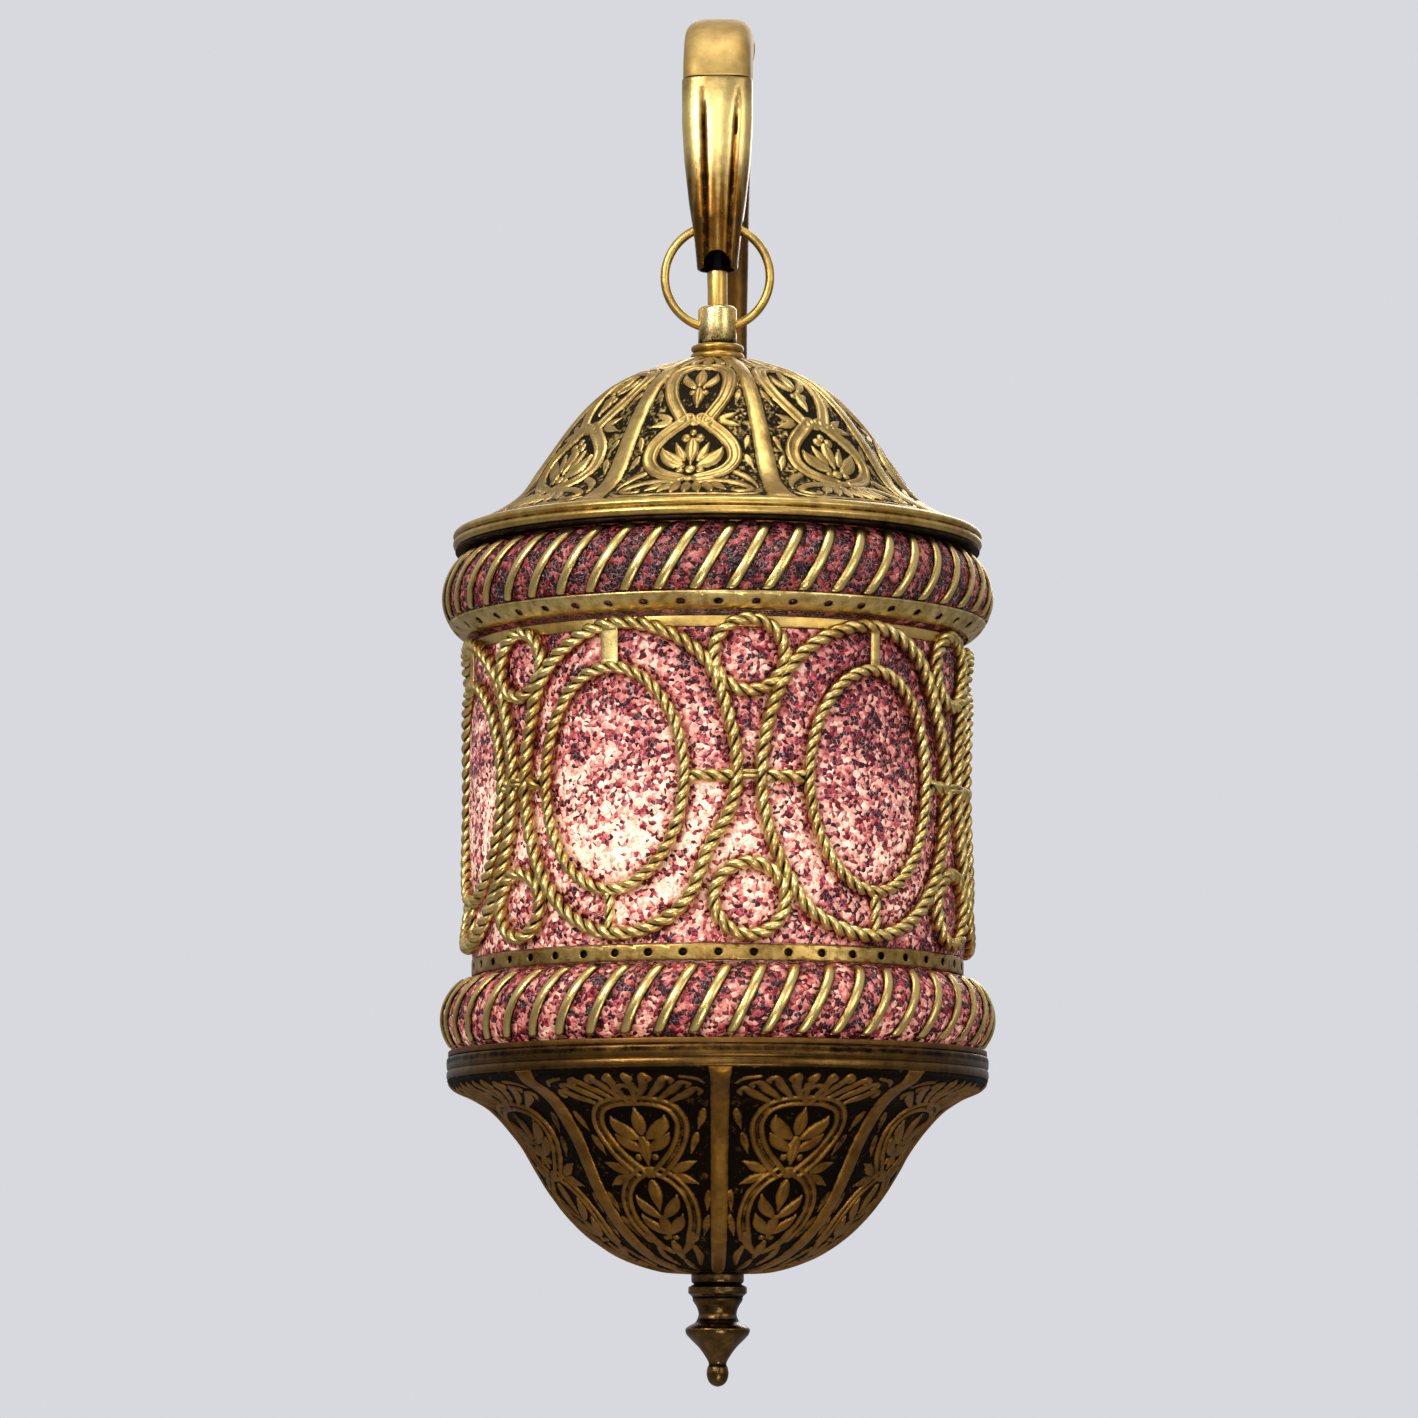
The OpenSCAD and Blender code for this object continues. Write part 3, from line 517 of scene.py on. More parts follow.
# ----------------------------------------------------------------------------
# Cast ornament: eight equal panels between plain ribs. u runs -1..1 across a
# panel and s is the distance along the profile in mm.
# ----------------------------------------------------------------------------
class Panel:
    def __init__(self, s, hw, cols):
        self.s, self.hw, self.cols = s, hw, cols
        self.u = (np.arange(cols) / cols) * 2 - 1
        self.X = self.u[None, :] * hw[:, None]
        self.S = np.broadcast_to(s[:, None], self.X.shape)
        self.H = np.zeros_like(self.X)
        self.G = np.zeros_like(self.X)

    def ground(self, edge, h):
        """Rough raised ground outside a panel outline given as (u, s) points from top to bottom."""
        lim = np.interp(self.s, [e[1] for e in edge], [e[0] for e in edge])[:, None]
        self.G = h * np.clip((np.abs(self.u)[None, :] - lim) / 0.05, 0, 1)

    floor = 0.60

    def leaf(self, a, b, w, h, bend=0.0):
        """Pointed leaf from a to b, fullest before its middle, with a fine crease."""
        n = 9
        t = np.linspace(0, 1, n)
        px = a[0] + (b[0] - a[0]) * t + bend * np.sin(pi * t)
        ps = a[1] + (b[1] - a[1]) * t
        ww = [max(0.3, w * math.sin(pi * (0.10 + 0.90 * k) ** 0.8)) for k in t]
        D = self.dist(list(zip(px, ps)), ww)
        self.H = np.maximum(self.H, h * np.sqrt(np.clip(1 - D ** 2, 0, 1)) * (0.80 + 0.20 * np.clip(D / 0.3, 0, 1)))

    def at(self, u, s):
        return np.array([u * np.interp(s, self.s, self.hw), s])

    def dist(self, pts, w, closed=False):
        """Distance to a line in units of its own half width, near the line."""
        line = smooth_line([(p[0], p[1], (w[i] if isinstance(w, (list, tuple)) else w)) for i, p in enumerate(pts)], 14, closed)
        xy = np.array([self.at(p[0], p[1]) for p in line])
        D = np.full(self.X.shape, 9.0)
        xy2, ww = [], []
        n = len(xy)
        for k in range(n if closed else n - 1):
            a, b = xy[k], xy[(k + 1) % n]
            m = max(1, int(np.linalg.norm(b - a) / 0.3))
            for j in range(m):
                xy2.append(a + (b - a) * j / m)
                ww.append(line[k][2] + (line[(k + 1) % n][2] - line[k][2]) * j / m)
        xy2.append(xy[-1])
        ww.append(line[-1][2])
        ds = self.s[1] - self.s[0]
        for p, wk in zip(xy2, ww):
            wk = max(wk, 0.12)
            i0 = max(0, int((p[1] - 1.1 * wk - self.s[0]) / ds))
            i1 = min(len(self.s), int((p[1] + 1.1 * wk - self.s[0]) / ds) + 2)
            if i1 <= i0:
                continue
            d = np.hypot(self.X[i0:i1] - p[0], self.S[i0:i1] - p[1]) / wk
            D[i0:i1] = np.minimum(D[i0:i1], d)
        return D

    def ridge(self, pts, w, h, closed=False, power=2.0):
        D = self.dist(pts, w, closed)
        self.H = np.maximum(self.H, h * np.sqrt(np.clip(1 - D ** power, 0, 1)))

    def band(self, pts, w, h, closed=False):
        """Flat band with a groove along its middle and a rounded bead on each side."""
        D = self.dist(pts, w, closed)
        bead = np.sqrt(np.clip(1 - ((D - 0.62) / 0.38) ** 2, 0, 1))
        floor = np.where(D < 0.62, self.floor, 0.0)
        self.H = np.maximum(self.H, h * np.maximum(bead, floor * (D < 1)))

    def both(self, fn, pts, *a, **k):
        fn(pts, *a, **k)
        fn([(-p[0],) + tuple(p[1:]) for p in pts], *a, **k)

    def dot(self, u, s, r, h, ry=None):
        x, _ = self.at(u, s)
        D = np.hypot((self.X - x) / r, (self.S - s) / (ry or r))
        self.H = np.maximum(self.H, h * np.sqrt(np.clip(1 - D ** 2, 0, 1)))

    def hole(self, u, s, r, ry=None, floor=0.0):
        x, _ = self.at(u, s)
        D = np.hypot((self.X - x) / r, (self.S - s) / (ry or r))
        k = np.clip((1.15 - D) / 0.3, 0, 1)
        self.H = self.H * (1 - k) + np.minimum(self.H, floor) * k

    def eye(self, u, s, r, h, ry=None):
        """Raised ring with a dark hollow in it."""
        self.dot(u, s, r, h, ry)
        self.hole(u, s, r * 0.34, (ry or r) * 0.36, 0.08)


def dome_panel(s, hw, cols):
    p = Panel(s, hw, cols)
    R, B = p.ridge, p.band
    # plain ribs at both edges of the panel, flaring into the rim
    xr = (1 - np.abs(p.u))[None, :] * hw[:, None]
    wr = np.interp(s, [0, 14, 40, 95, 108, 115], [2.3, 3.0, 3.3, 4.1, 5.0, 7.5])[:, None]
    rib = 1.35 * np.clip(1 - (xr / wr) ** 2.6, 0, 1) ** 0.5
    # upper heart-shaped loop
    p.both(B, [(0, 23.6), (.34, 24.0), (.58, 28.4), (.62, 35), (.575, 41), (.47, 48.5), (.34, 54.5), (.23, 59.5), (.19, 62)], 2.9, 1.22)
    # lower ogee loop
    p.both(B, [(.10, 60.5), (.24, 64.0), (.44, 69.6), (.565, 75.6), (.575, 82), (.47, 87.4), (.30, 91.2), (.12, 93.4)], 2.9, 1.26)
    p.dot(0, 61.5, 3.8, 1.1, 2.8)
    p.dot(0, 93.6, 3.4, 0.95, 2.0)
    # inside the upper loop: three leaves and a hanging bud
    p.leaf((0, 39.5), (0, 27.2), 2.5, 1.25)
    for q in (-1, 1):
        p.leaf((.10 * q, 41.2), (.37 * q, 31.6), 2.1, 1.15, .06 * q)
        p.dot(.12 * q, 45.0, 1.5, 0.95, 1.8)
    p.leaf((0, 43.0), (0, 54.0), 2.5, 1.25)
    # inside the lower loop: three buds over a leaf, with a curled leaf on each side
    p.dot(-.10, 71.0, 1.9, 1.1, 2.3)
    p.dot(.10, 71.0, 1.9, 1.1, 2.3)
    p.dot(0, 68.2, 1.5, 1.0, 1.9)
    p.leaf((0, 72.4), (0, 84.6), 2.9, 1.3)
    for q in (-1, 1):
        p.leaf((.12 * q, 85.6), (.42 * q, 76.4), 3.2, 1.3, .05 * q)
        p.leaf((.10 * q, 82.4), (.24 * q, 73.6), 1.9, 1.15)
        p.dot(.13 * q, 88.3, 1.7, 1.0)
    p.dot(0, 87.4, 2.2, 1.15)
    # crown of the dome: small leaves running up to the collar
    p.both(R, [(.32, 21.4), (.46, 15), (.34, 8), (.12, 3)], [1.6, 1.8, 1.2, 0.8], 0.95)
    R([(0, 20.0), (0, 13), (0, 5)], [0.9, 2.2, 0.9], 1.0)
    p.both(R, [(.70, 22.5), (.74, 14), (.68, 6)], [1.1, 1.1, 0.6], 0.75)
    # side grounds: low, worn foliage over a stippled ground
    for q in (-1, 1):
        p.leaf((.40 * q, 60.6), (.66 * q, 57.4), 1.9, 0.80)
        p.leaf((.40 * q, 62.0), (.70 * q, 64.4), 1.9, 0.80)
        p.leaf((.80 * q, 70.0), (.74 * q, 77.0), 1.5, 0.55)
        p.leaf((.74 * q, 80.0), (.82 * q, 87.5), 1.6, 0.55)
        p.leaf((.84 * q, 30.0), (.76 * q, 40.0), 1.4, 0.5)
        p.leaf((.78 * q, 43.0), (.66 * q, 52.5), 1.5, 0.5)
    p.ground([(.5, 0), (.30, 21), (.62, 28), (.66, 35), (.60, 42), (.48, 50), (.32, 57), (.20, 61), (.30, 64), (.50, 70), (.60, 76), (.60, 83), (.48, 89), (.2, 95), (.2, 116)], 0.22)
    # leaf scrolls along the rim
    p.both(R, [(.12, 97.0), (.32, 95.8), (.52, 97.0), (.68, 100.6), (.71, 104.4), (.62, 107.0), (.52, 106.2), (.52, 103.6)], [1.6, 1.8, 1.8, 1.6, 1.4, 1.2, 0.9, 0.5], 1.0)
    p.both(R, [(.58, 89.6), (.70, 92.4), (.78, 97.4), (.80, 101.5)], [1.5, 1.6, 1.0, 0.4], 0.85)
    for k, (u0, l) in enumerate(((0.0, 9.6), (.13, 9.2), (.26, 8.4), (.39, 6.8))):
        for q in (-1, 1):
            p.leaf((u0 * .8 * q, 98.0), (u0 * 1.12 * q, 98.4 + l), 2.2, 1.05)
    p.both(R, [(.30, 110.0), (.50, 110.8), (.70, 110.2), (.82, 106.4)], [1.1, 1.2, 1.2, 0.6], 0.8)
    R([(-.30, 110.6), (0, 110.0), (.30, 110.6)], [0.8, 1.1, 0.8], 0.75)
    p.H = np.maximum(p.H, rib)
    return p.H, p.G


def bowl_panel(s, hw, cols):
    p = Panel(s, hw, cols)
    p.floor = 0.36
    R, B = p.ridge, p.band
    xr = (1 - np.abs(p.u))[None, :] * hw[:, None]
    wr = np.interp(s, [0, 6, 24, 90, 112, 128], [4.6, 4.0, 3.7, 3.3, 2.8, 2.2])[:, None]
    rib = 1.35 * np.clip(1 - (xr / wr) ** 2.6, 0, 1) ** 0.5
    # leaf spray under the rim: curled leaves rather than straight rays
    for k, (u0, s0, u1, s1, cu) in enumerate(((.05, 20, .08, 4.5, .05), (.12, 19.5, .26, 4.5, .06), (.22, 20.0, .46, 6.0, .07), (.34, 21.0, .62, 9.5, .07), (.46, 22.5, .74, 14.5, .06))):
        p.both(R, [(u0, s0), ((u0 + u1) / 2 + .03, (s0 + s1) / 2), (u1, s1), (u1 + cu, s1 + 1.6), (u1 + cu * .6, s1 + 4.0)], [1.0, 2.0, 1.6, 1.3, 0.6], 1.0)
    p.both(R, [(.62, 5.0), (.76, 6.4), (.84, 10.5)], [0.8, 1.4, 0.6], 0.8)
    p.both(R, [(0, 22.6), (.15, 17), (.03, 11.5), (-.07, 14.5)], [1.2, 1.5, 1.2, 0.6], 1.0)
    # large loop
    p.both(B, [(0, 21.6), (.22, 22.2), (.43, 25.6), (.535, 32), (.52, 39), (.42, 46), (.28, 51.2), (.15, 55)], 2.9, 1.24)
    p.dot(0, 55.2, 3.4, 1.1, 2.8)
    # leaves and buds in it
    p.leaf((0, 37.5), (0, 25.6), 3.0, 1.2)
    for q in (-1, 1):
        p.leaf((.09 * q, 39.6), (.34 * q, 29.6), 3.2, 1.2, .07 * q)
        p.leaf((.08 * q, 45.0), (.36 * q, 38.0), 2.7, 1.15, .05 * q)
        p.dot(.12 * q, 48.6, 1.6, 0.95)
    p.leaf((0, 40.4), (0, 51.8), 2.9, 1.2)
    # long lower loop
    p.both(B, [(.15, 55), (.34, 59), (.50, 65), (.57, 72), (.56, 80), (.46, 88)], 2.6, 1.2)
    p.both(R, [(.46, 86), (.34, 93), (.14, 98)], [2.2, 1.8, 1.2], 1.05)
    p.leaf((0, 59.6), (0, 73.0), 2.8, 1.15)
    for q in (-1, 1):
        p.leaf((.07 * q, 75.6), (.34 * q, 65.4), 2.6, 1.1, .06 * q)
        p.leaf((.07 * q, 84.6), (.38 * q, 74.8), 2.6, 1.1, .05 * q)
        p.dot(.10 * q, 88.0, 1.5, 0.9)
    p.leaf((0, 76.2), (0, 88.6), 2.5, 1.1)
    # buds running down to the bottom
    R([(0, 90.5), (0, 96), (0, 103)], [1.0, 2.3, 0.9], 1.0)
    p.both(R, [(.44, 94), (.50, 101), (.40, 110)], [1.2, 1.7, 0.7], 0.9)
    R([(0, 105), (0, 111), (0, 119)], [0.8, 1.5, 0.7], 0.85)
    # side grounds
    for q in (-1, 1):
        p.leaf((.36 * q, 54.6), (.68 * q, 50.4), 2.3, 0.85)
        p.leaf((.36 * q, 56.4), (.70 * q, 60.4), 2.3, 0.85)
        p.leaf((.82 * q, 27.0), (.74 * q, 36.0), 1.8, 0.6)
        p.leaf((.72 * q, 38.5), (.62 * q, 47.0), 1.8, 0.6)
        p.leaf((.84 * q, 64.0), (.80 * q, 73.0), 1.7, 0.55)
        p.leaf((.82 * q, 76.0), (.70 * q, 87.0), 1.7, 0.55)
    p.ground([(.7, 0), (.30, 20), (.52, 27), (.60, 33), (.57, 40), (.46, 47), (.30, 53), (.34, 58), (.54, 65), (.62, 72), (.60, 82), (.50, 92), (.4, 128)], 0.10)
    p.H = np.maximum(p.H, rib)
    return p.H, p.G


def cast_shell(name, outline, wall, panel_fn, rib_at, mat, node, body, ground=-0.62, top_close=None, seed=5, inner_steps=40):
    """Relief shell round the lantern's axis. outline is (r, z) points; the outside carries the ornament."""
    ncol, step = ((1280, 0.5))
    line, s = resample(smooth_line(outline, 10), step)
    r, z = line[:, 0], line[:, 1]
    m = len(line)
    cols = ncol // 8
    hw = pi * r / 8
    H1, G1 = panel_fn(s, hw, cols)
    H, G = np.tile(H1, (1, 8)), np.tile(G1, (1, 8))
    # hand-finished look: small differences from panel to panel, and a stippled ground
    ph = rib_at + np.arange(ncol) * 2 * pi / ncol
    A, S = np.meshgrid(np.arange(ncol) / ncol, s)
    arc = A * 2 * pi * r[:, None]
    stip = value_noise(A * 420 * 1.0, S / 1.15, seed, 420)
    stip2 = value_noise(A * 200, S / 2.6, seed + 1, 200)
    wob = value_noise(A * 90, S / 6.5, seed + 2, 90)
    H = H * (1 + 0.10 * wob)
    low = np.clip(1 - H / 0.35, 0, 1)
    H = H + low * (0.13 * np.clip(stip, -0.2, 1) + 0.08 * stip2) + 0.03 * stip * (1 - low)
    H = np.maximum(H, G * np.clip(0.85 + 0.75 * stip + 0.45 * stip2, 0.1, 2.0))
    tan = np.gradient(line, axis=0)
    tan /= np.linalg.norm(tan, axis=1, keepdims=True)
    nr, nz = tan[:, 1], -tan[:, 0]
    if np.dot([nr[m // 2], nz[m // 2]], [r[m // 2], 0]) < 0:
        nr, nz = -nr, -nz
    fade = np.minimum(1, np.minimum(s / 2.0, (s[-1] - s) / 2.0))[:, None]
    off = (ground + H) * fade
    off = np.minimum(off, 0.75)
    Ro = r[:, None] + nr[:, None] * off
    Zo = z[:, None] + nz[:, None] * off
    # inside
    li, _ = resample(line, max(step * 3, s[-1] / inner_steps))
    ti = np.gradient(li, axis=0)
    ti /= np.linalg.norm(ti, axis=1, keepdims=True)
    ni = np.stack([ti[:, 1], -ti[:, 0]], 1)
    if ni[len(li) // 2, 0] < 0:
        ni = -ni
    li = li - ni * wall
    li = li[::-1]
    Ri = np.repeat(li[:, :1], ncol, 1)
    Zi = np.repeat(li[:, 1:], ncol, 1)
    Rr = np.concatenate([Ro, Ri])
    Zz = np.concatenate([Zo, Zi])
    rows = len(Rr)
    v = np.stack([Rr * np.sin(ph)[None, :], -Rr * np.cos(ph)[None, :], Zz], -1)
    v = v.transpose(1, 0, 2).reshape(-1, 3)
    q = grid_quads(ncol, rows, close_u=True, close_v=True)
    q, _ = orient(v, q)
    rel = np.concatenate([np.clip(H / 1.2, 0, 1.05), np.full((len(li), ncol), 0.55)])
    # cavities: darker beside tall shapes and lighter on their tops, partly patina and wear, partly painted shade
    k = np.ones((5, 5)) / 25
    pad = np.pad(H, ((2, 2), (0, 0)), mode="edge")
    pad = np.concatenate([pad[:, -2:], pad, pad[:, :2]], 1)
    blur = sum(pad[i:i + H.shape[0], j:j + H.shape[1]] * k[i, j] for i in range(5) for j in range(5))
    curv = H - blur
    rel[:H.shape[0]] = np.clip(rel[:H.shape[0]] + curv * 0.9, 0, 1.15)
    return make(name, v, q, mat, body, attrs={"relief": rel.T.ravel()}, replaces=[node], slot=mat_slot[mat.name[5:]])


mat_slot = {"antique_brass": "antique_brass", "rope_brass": "antique_brass", "arm_brass": "antique_brass", "shaded_brass": "antique_brass", "beak_brass": "antique_brass", "cap_brass": "antique_brass", "rib_brass": "antique_brass", "strip_brass": "antique_brass", "rim_bronze": "dark_bronze", "finial_bronze": "dark_bronze", "tan_brass": "tan_brass", "aged_brass": "aged_brass",
            "dark_bronze": "dark_bronze", "dark_bronze_plain": "dark_bronze", "black_patina": "black_patina",
            "zinc_steel": "zinc_steel", "black_plastic": "black_plastic", "white_plastic": "white_plastic",
            "rose_crackle_glass": "rose_crackle_glass", "mauve_crackle_glass": "mauve_crackle_glass",
            "salmon_crackle_glass": "mauve_crackle_glass"}

DOME = [(14, 140.5), (27, 136.2), (38, 131.5), (48, 124.6), (57, 115.4), (65, 105), (72, 94.6), (77, 87), (82, 81.6), (89, 76.9), (97, 73), (101.2, 71.2)]
BOWL = [(107.4, -148.9), (104, -152.6), (96.5, -156), (89, -161), (82.5, -168), (76.5, -176), (71.5, -184.5), (66.5, -192.6),
        (60.5, -200.6), (53, -208.4), (43.5, -215.4), (34, -220.1), (22, -223.6), (11, -224.4)]
rad = math.radians
cast_shell("dome_cast", DOME, 1.5, dome_panel, rad(16.5), M_dome, "dome", "lantern", seed=5)
# the flat top of the dome under the collar
lip = rounded([(5.1, 140.3), (14.15, 140.5), (14.6, 139.3), (14.0, 138.8), (5.1, 138.9)], 0.3)
v, q = lathe(lip, 96)
q, _ = orient(v, q)
make("dome_top_plate", v, q, M_dome, "lantern", attrs={"relief": np.full(len(v), 0.8)}, slot="aged_brass")
cast_shell("bowl_cast", BOWL, 1.5, bowl_panel, rad(2.5), M_bowl, "bowl", "bowl", seed=9)
lip = rounded([(3.4, -224.35), (11.2, -224.45), (11.4, -223.0), (3.4, -223.0)], 0.3)
v, q = lathe(lip, 96)
q, _ = orient(v, q)
make("bowl_bottom_plate", v, q, M_bowl, "bowl", attrs={"relief": np.full(len(v), 0.8)}, slot="dark_bronze")


def turned(name, prof, mat, body, nodes, n=256, r=0.4, axis_ends=False, relief=None):
    """Turned piece. relief: brightness by radius, high where the outline stands proud."""
    prof = np.asarray(prof, float)
    if axis_ends:
        v, q, t = lathe_axis(prof, n)
    else:
        prof = rounded(prof, r, 3) if r else prof
        v, q = lathe(prof, n)
        t = None
    q, t = orient(v, q, t)
    rr = np.hypot(v[:, 0], v[:, 1])
    rel = np.full(len(v), 0.9) if relief is None else np.clip(relief(rr, v[:, 2]), 0, 1.1)
    return make(name, v, q, mat, body, tris=t, attrs={"relief": rel}, replaces=nodes, slot=mat_slot[mat.name[5:]])


def groove_dark(zs, w=0.7, base=0.95, floor=0.2):
    def f(r, z):
        d = np.min(np.stack([np.abs(z - g) for g in zs]), 0)
        return base - (base - floor) * np.exp(-(d / w) ** 2)
    return f


# ---- dome rim, black ring, bottom ring, bowl rim ----
turned("dome_rim_moulding", smooth_line([(101.5, 71.3), (103.6, 70.95), (105.3, 70.1), (105.95, 69.0), (105.7, 67.9), (104.9, 67.25), (105.75, 66.6),
       (105.98, 65.3), (105.2, 64.0), (103.9, 63.5), (102.4, 63.5), (101.4, 64.2), (101.4, 67.0), (101.4, 69.6)], 5, True),
       M_brass, "lantern", ["dome_rim"], 512, 0, relief=lambda r, z: np.where(r < 102.6, 0.25, 0.98) - 0.7 * np.exp(-((z - 67.25) / 0.5) ** 2) * (r > 103))
turned("cage_top_ring_black", [(99.0, 62.2), (105.1, 62.2), (105.1, 63.35), (95.1, 63.35), (95.1, 62.6), (99.0, 62.6)], M_black, "lantern", ["cage_top_ring"], 384, 0.4)
turned("cage_bottom_ring_bronze", [(104.05, -139.6), (107.0, -139.6), (107.0, -137.35), (104.05, -137.35)], M_bowl_plain, "lantern", ["cage_bottom_ring"], 384, 0.5)
turned("bowl_rim_moulding", smooth_line([(106.1, -140.05), (107.2, -140.1), (107.58, -141.2), (107.58, -143.6), (107.3, -144.6), (106.9, -145.0), (107.35, -145.4),
       (107.6, -146.4), (107.55, -147.9), (107.0, -148.75), (106.2, -148.75), (106.05, -146.0), (106.05, -143)], 5, True),
       M_rim, "bowl", ["bowl_rim"], 512, 0, relief=lambda r, z: np.where(r < 106.4, 0.2, 0.30) + 0.62 * np.clip((-142.4 - z) / 0.8, 0, 1) + 0.35 * np.clip((z + 141.2) / 0.8, 0, 1))

# ---- neck: stem, cap, collar ----
turned("neck_collar_turned", [(5.15, 147.5), (8.9, 147.5), (10.55, 146.6), (10.65, 145.2), (9.3, 144.25), (10.75, 143.3), (10.85, 141.9), (9.8, 140.6), (5.15, 140.6)],
       M_arm, "lantern", ["neck_collar"], 128, 0.55, relief=groove_dark([144.25, 147.5], 0.6))


def bored(name, ob_data, mat, body, nodes, cutters, attrs_fn, sharp=35):
    """Cuts round holes out of a closed mesh and keeps the result as a plain mesh. cutters: (centre, axis, radius, half length) in lantern mm."""
    v, q, t = ob_data
    tmp = make(name + "_tmp", v, q, mat, body, tris=t)
    tools = []
    for i, (c, ax, r, hl) in enumerate(cutters):
        n = 48
        a = np.arange(n) * 2 * pi / n
        ax = np.array(ax, float)
        e1 = np.cross(ax, [0.3, 0.5, 0.81])
        e1 /= np.linalg.norm(e1)
        e2 = np.cross(ax, e1)
        ringv = r * (np.cos(a)[:, None] * e1 + np.sin(a)[:, None] * e2)
        c = np.array(c, float)
        vv = np.concatenate([ringv + c - ax * hl, ringv + c + ax * hl, [c - ax * hl], [c + ax * hl]])
        j = (np.arange(n) + 1) % n
        i0 = np.arange(n)
        qq = np.stack([i0, j, n + j, n + i0], 1)
        tt = np.concatenate([np.stack([np.full(n, 2 * n), j, i0], 1), np.stack([np.full(n, 2 * n + 1), n + i0, n + j], 1)])
        qq, tt = orient(vv, qq, tt)
        tools.append(make(name + "_tool%d" % i, vv, qq, mat, body, tris=tt, smooth=False))
        m = tmp.modifiers.new("cut%d" % i, 'BOOLEAN')
        m.operation = 'DIFFERENCE'
        m.solver = 'EXACT'
        m.object = tools[-1]
    deps = bpy.context.evaluated_depsgraph_get()
    me = bpy.data.meshes.new_from_object(tmp.evaluated_get(deps))
    for o in [tmp] + tools:
        bpy.data.objects.remove(o)
    me.name = name
    ob = bpy.data.objects.new(name, me)
    bpy.context.scene.collection.objects.link(ob)
    me.materials.clear()
    me.materials.append(mat)
    co = np.empty(len(me.vertices) * 3, np.float32)
    me.vertices.foreach_get("co", co)
    co = co.reshape(-1, 3) * 1000
    co[:, 1] += P * 1000
    co[:, 2] += Z0 * 1000
    if "relief" in me.attributes:
        me.attributes.remove(me.attributes["relief"])
    at = me.attributes.new("relief", 'FLOAT', 'POINT')
    at.data.foreach_set("value", np.clip(attrs_fn(co), 0, 1.1).astype(np.float32))
    me.polygons.foreach_set("use_smooth", np.ones(len(me.polygons), dtype=bool))
    me.set_sharp_from_angle(angle=math.radians(sharp))
    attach(ob, body)
    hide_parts(*nodes)
    return ob


# P and Z0 are metres; lantern mm -> row metres is handled by world()
def superell(a, b, p, n=64):
    t = np.arange(n) * 2 * pi / n
    c, s = np.cos(t), np.sin(t)
    return np.stack([a * np.sign(c) * np.abs(c) ** (2 / p), b * np.sign(s) * np.abs(s) ** (2 / p)], 1)


# ---- ring cap with its cross hole, stem, ring ----
capp = rounded([(5.1, 147.7), (7.8, 147.7), (7.8, 161.9), (6.7, 163.05), (4.1, 163.05), (4.1, 160.6), (5.8, 160.6), (5.8, 149.9), (5.1, 149.9)], 0.55, 4)
v, q = lathe(capp, 96)
q, _ = orient(v, q)
bored("ring_cap_turned", (v, q, None), M_cap, "lantern", ["ring_cap"], [((0, 0, 154.9), (1, 0, 0), 2.8, 20)],
      lambda c: 0.9 - 0.8 * np.exp(-((c[:, 2] - 148.0) / 0.7) ** 2) - 0.9 * (np.hypot(c[:, 0], c[:, 1]) < 5.9))
turned("stem_turned", [(3.05, 160.6), (3.95, 160.6), (3.95, 177.5), (3.05, 177.5)], M_arm, "lantern", ["stem_tube"], 64, 0.3)
a = np.arange(192) * 2 * pi / 192
path = np.stack([21.2 * np.sin(a), 0 * a, 175.4 + 21.2 * np.cos(a)], 1)
nrm = np.stack([np.sin(a), 0 * a, np.cos(a)], 1)
v, q, _ = tube(path, nrm, circle(1.8, 24), closed=True)
make("hanging_ring_wire", v, q, M_arm, "ring", attrs={"relief": np.full(len(v), 0.95)}, replaces=["hanging_ring"], slot="antique_brass")

# ---- arm: leg, crown and fluted beak ----
leg_s, elbow_r, apex_s, leg_top, top_z, beak_top = 133.5, 9.0, 38.0, 185.0, 278.0, 256.0


def arm_piece(name, pts, widths, depths, mat, nodes, p=3.2, body="bracket", groove=0.0, ends=1.6):
    pts = np.array(pts, float)
    path = np.stack([0 * pts[:, 0], pts[:, 0], pts[:, 1]], 1)
    s = np.concatenate([[0], np.cumsum(np.linalg.norm(np.diff(path, axis=0), axis=1))])
    # round the two ends over
    rr = np.minimum(s, s[-1] - s)
    pull = np.where(rr < ends, (ends - np.sqrt(np.clip(ends ** 2 - (ends - rr) ** 2, 0, None))), 0)
    n = 72
    sec = []
    for w, d, pl in zip(widths, depths, pull):
        e = superell(w - pl, d - pl, p, n)
        sec.append(e)
    sec = np.array(sec)
    v, q, t = tube(path, np.tile([1.0, 0, 0], (len(path), 1)), sec)
    rel = np.full(len(v), 0.9)
    return make(name, v, q, mat, body, tris=t, attrs={"relief": rel}, replaces=nodes, slot=mat_slot[mat.name[5:]])


leg = [(142.4, 60.0)]
for t in np.linspace(4, 90, 14):
    leg.append((leg_s + elbow_r - elbow_r * math.sin(rad(t)), 60 + elbow_r - elbow_r * math.cos(rad(t))))
for z in np.linspace(71, leg_top, 56)[:-1]:
    leg.append((leg_s, z))
for t in np.linspace(0, 90, 70):
    leg.append((apex_s + (leg_s - apex_s) * math.cos(rad(t)), leg_top + (top_z - leg_top) * math.sin(rad(t))))
leg, ls = resample(leg, 1.0)
f = ls / ls[-1]
arm_piece("bracket_arm_sweep", leg, np.interp(f, [0, .45, 0.62, 1], [8.0, 8.3, 9.4, 14.2]), np.interp(f, [0, .45, 0.62, 1], [7.2, 7.4, 8.2, 10.5]),
          M_leg, ["bracket_arm"], 2.6)
crown = [(apex_s - apex_s * math.sin(rad(t)), beak_top + (top_z - beak_top) * math.cos(rad(t))) for t in np.linspace(0, 90, 80)]
crown, cs_ = resample(crown, 0.7)
arm_piece("arm_crown_sweep", crown, np.full(len(crown), 13.8), np.full(len(crown), 10.4), M_crown, ["arm_crown"], 3.4, ends=0.12)

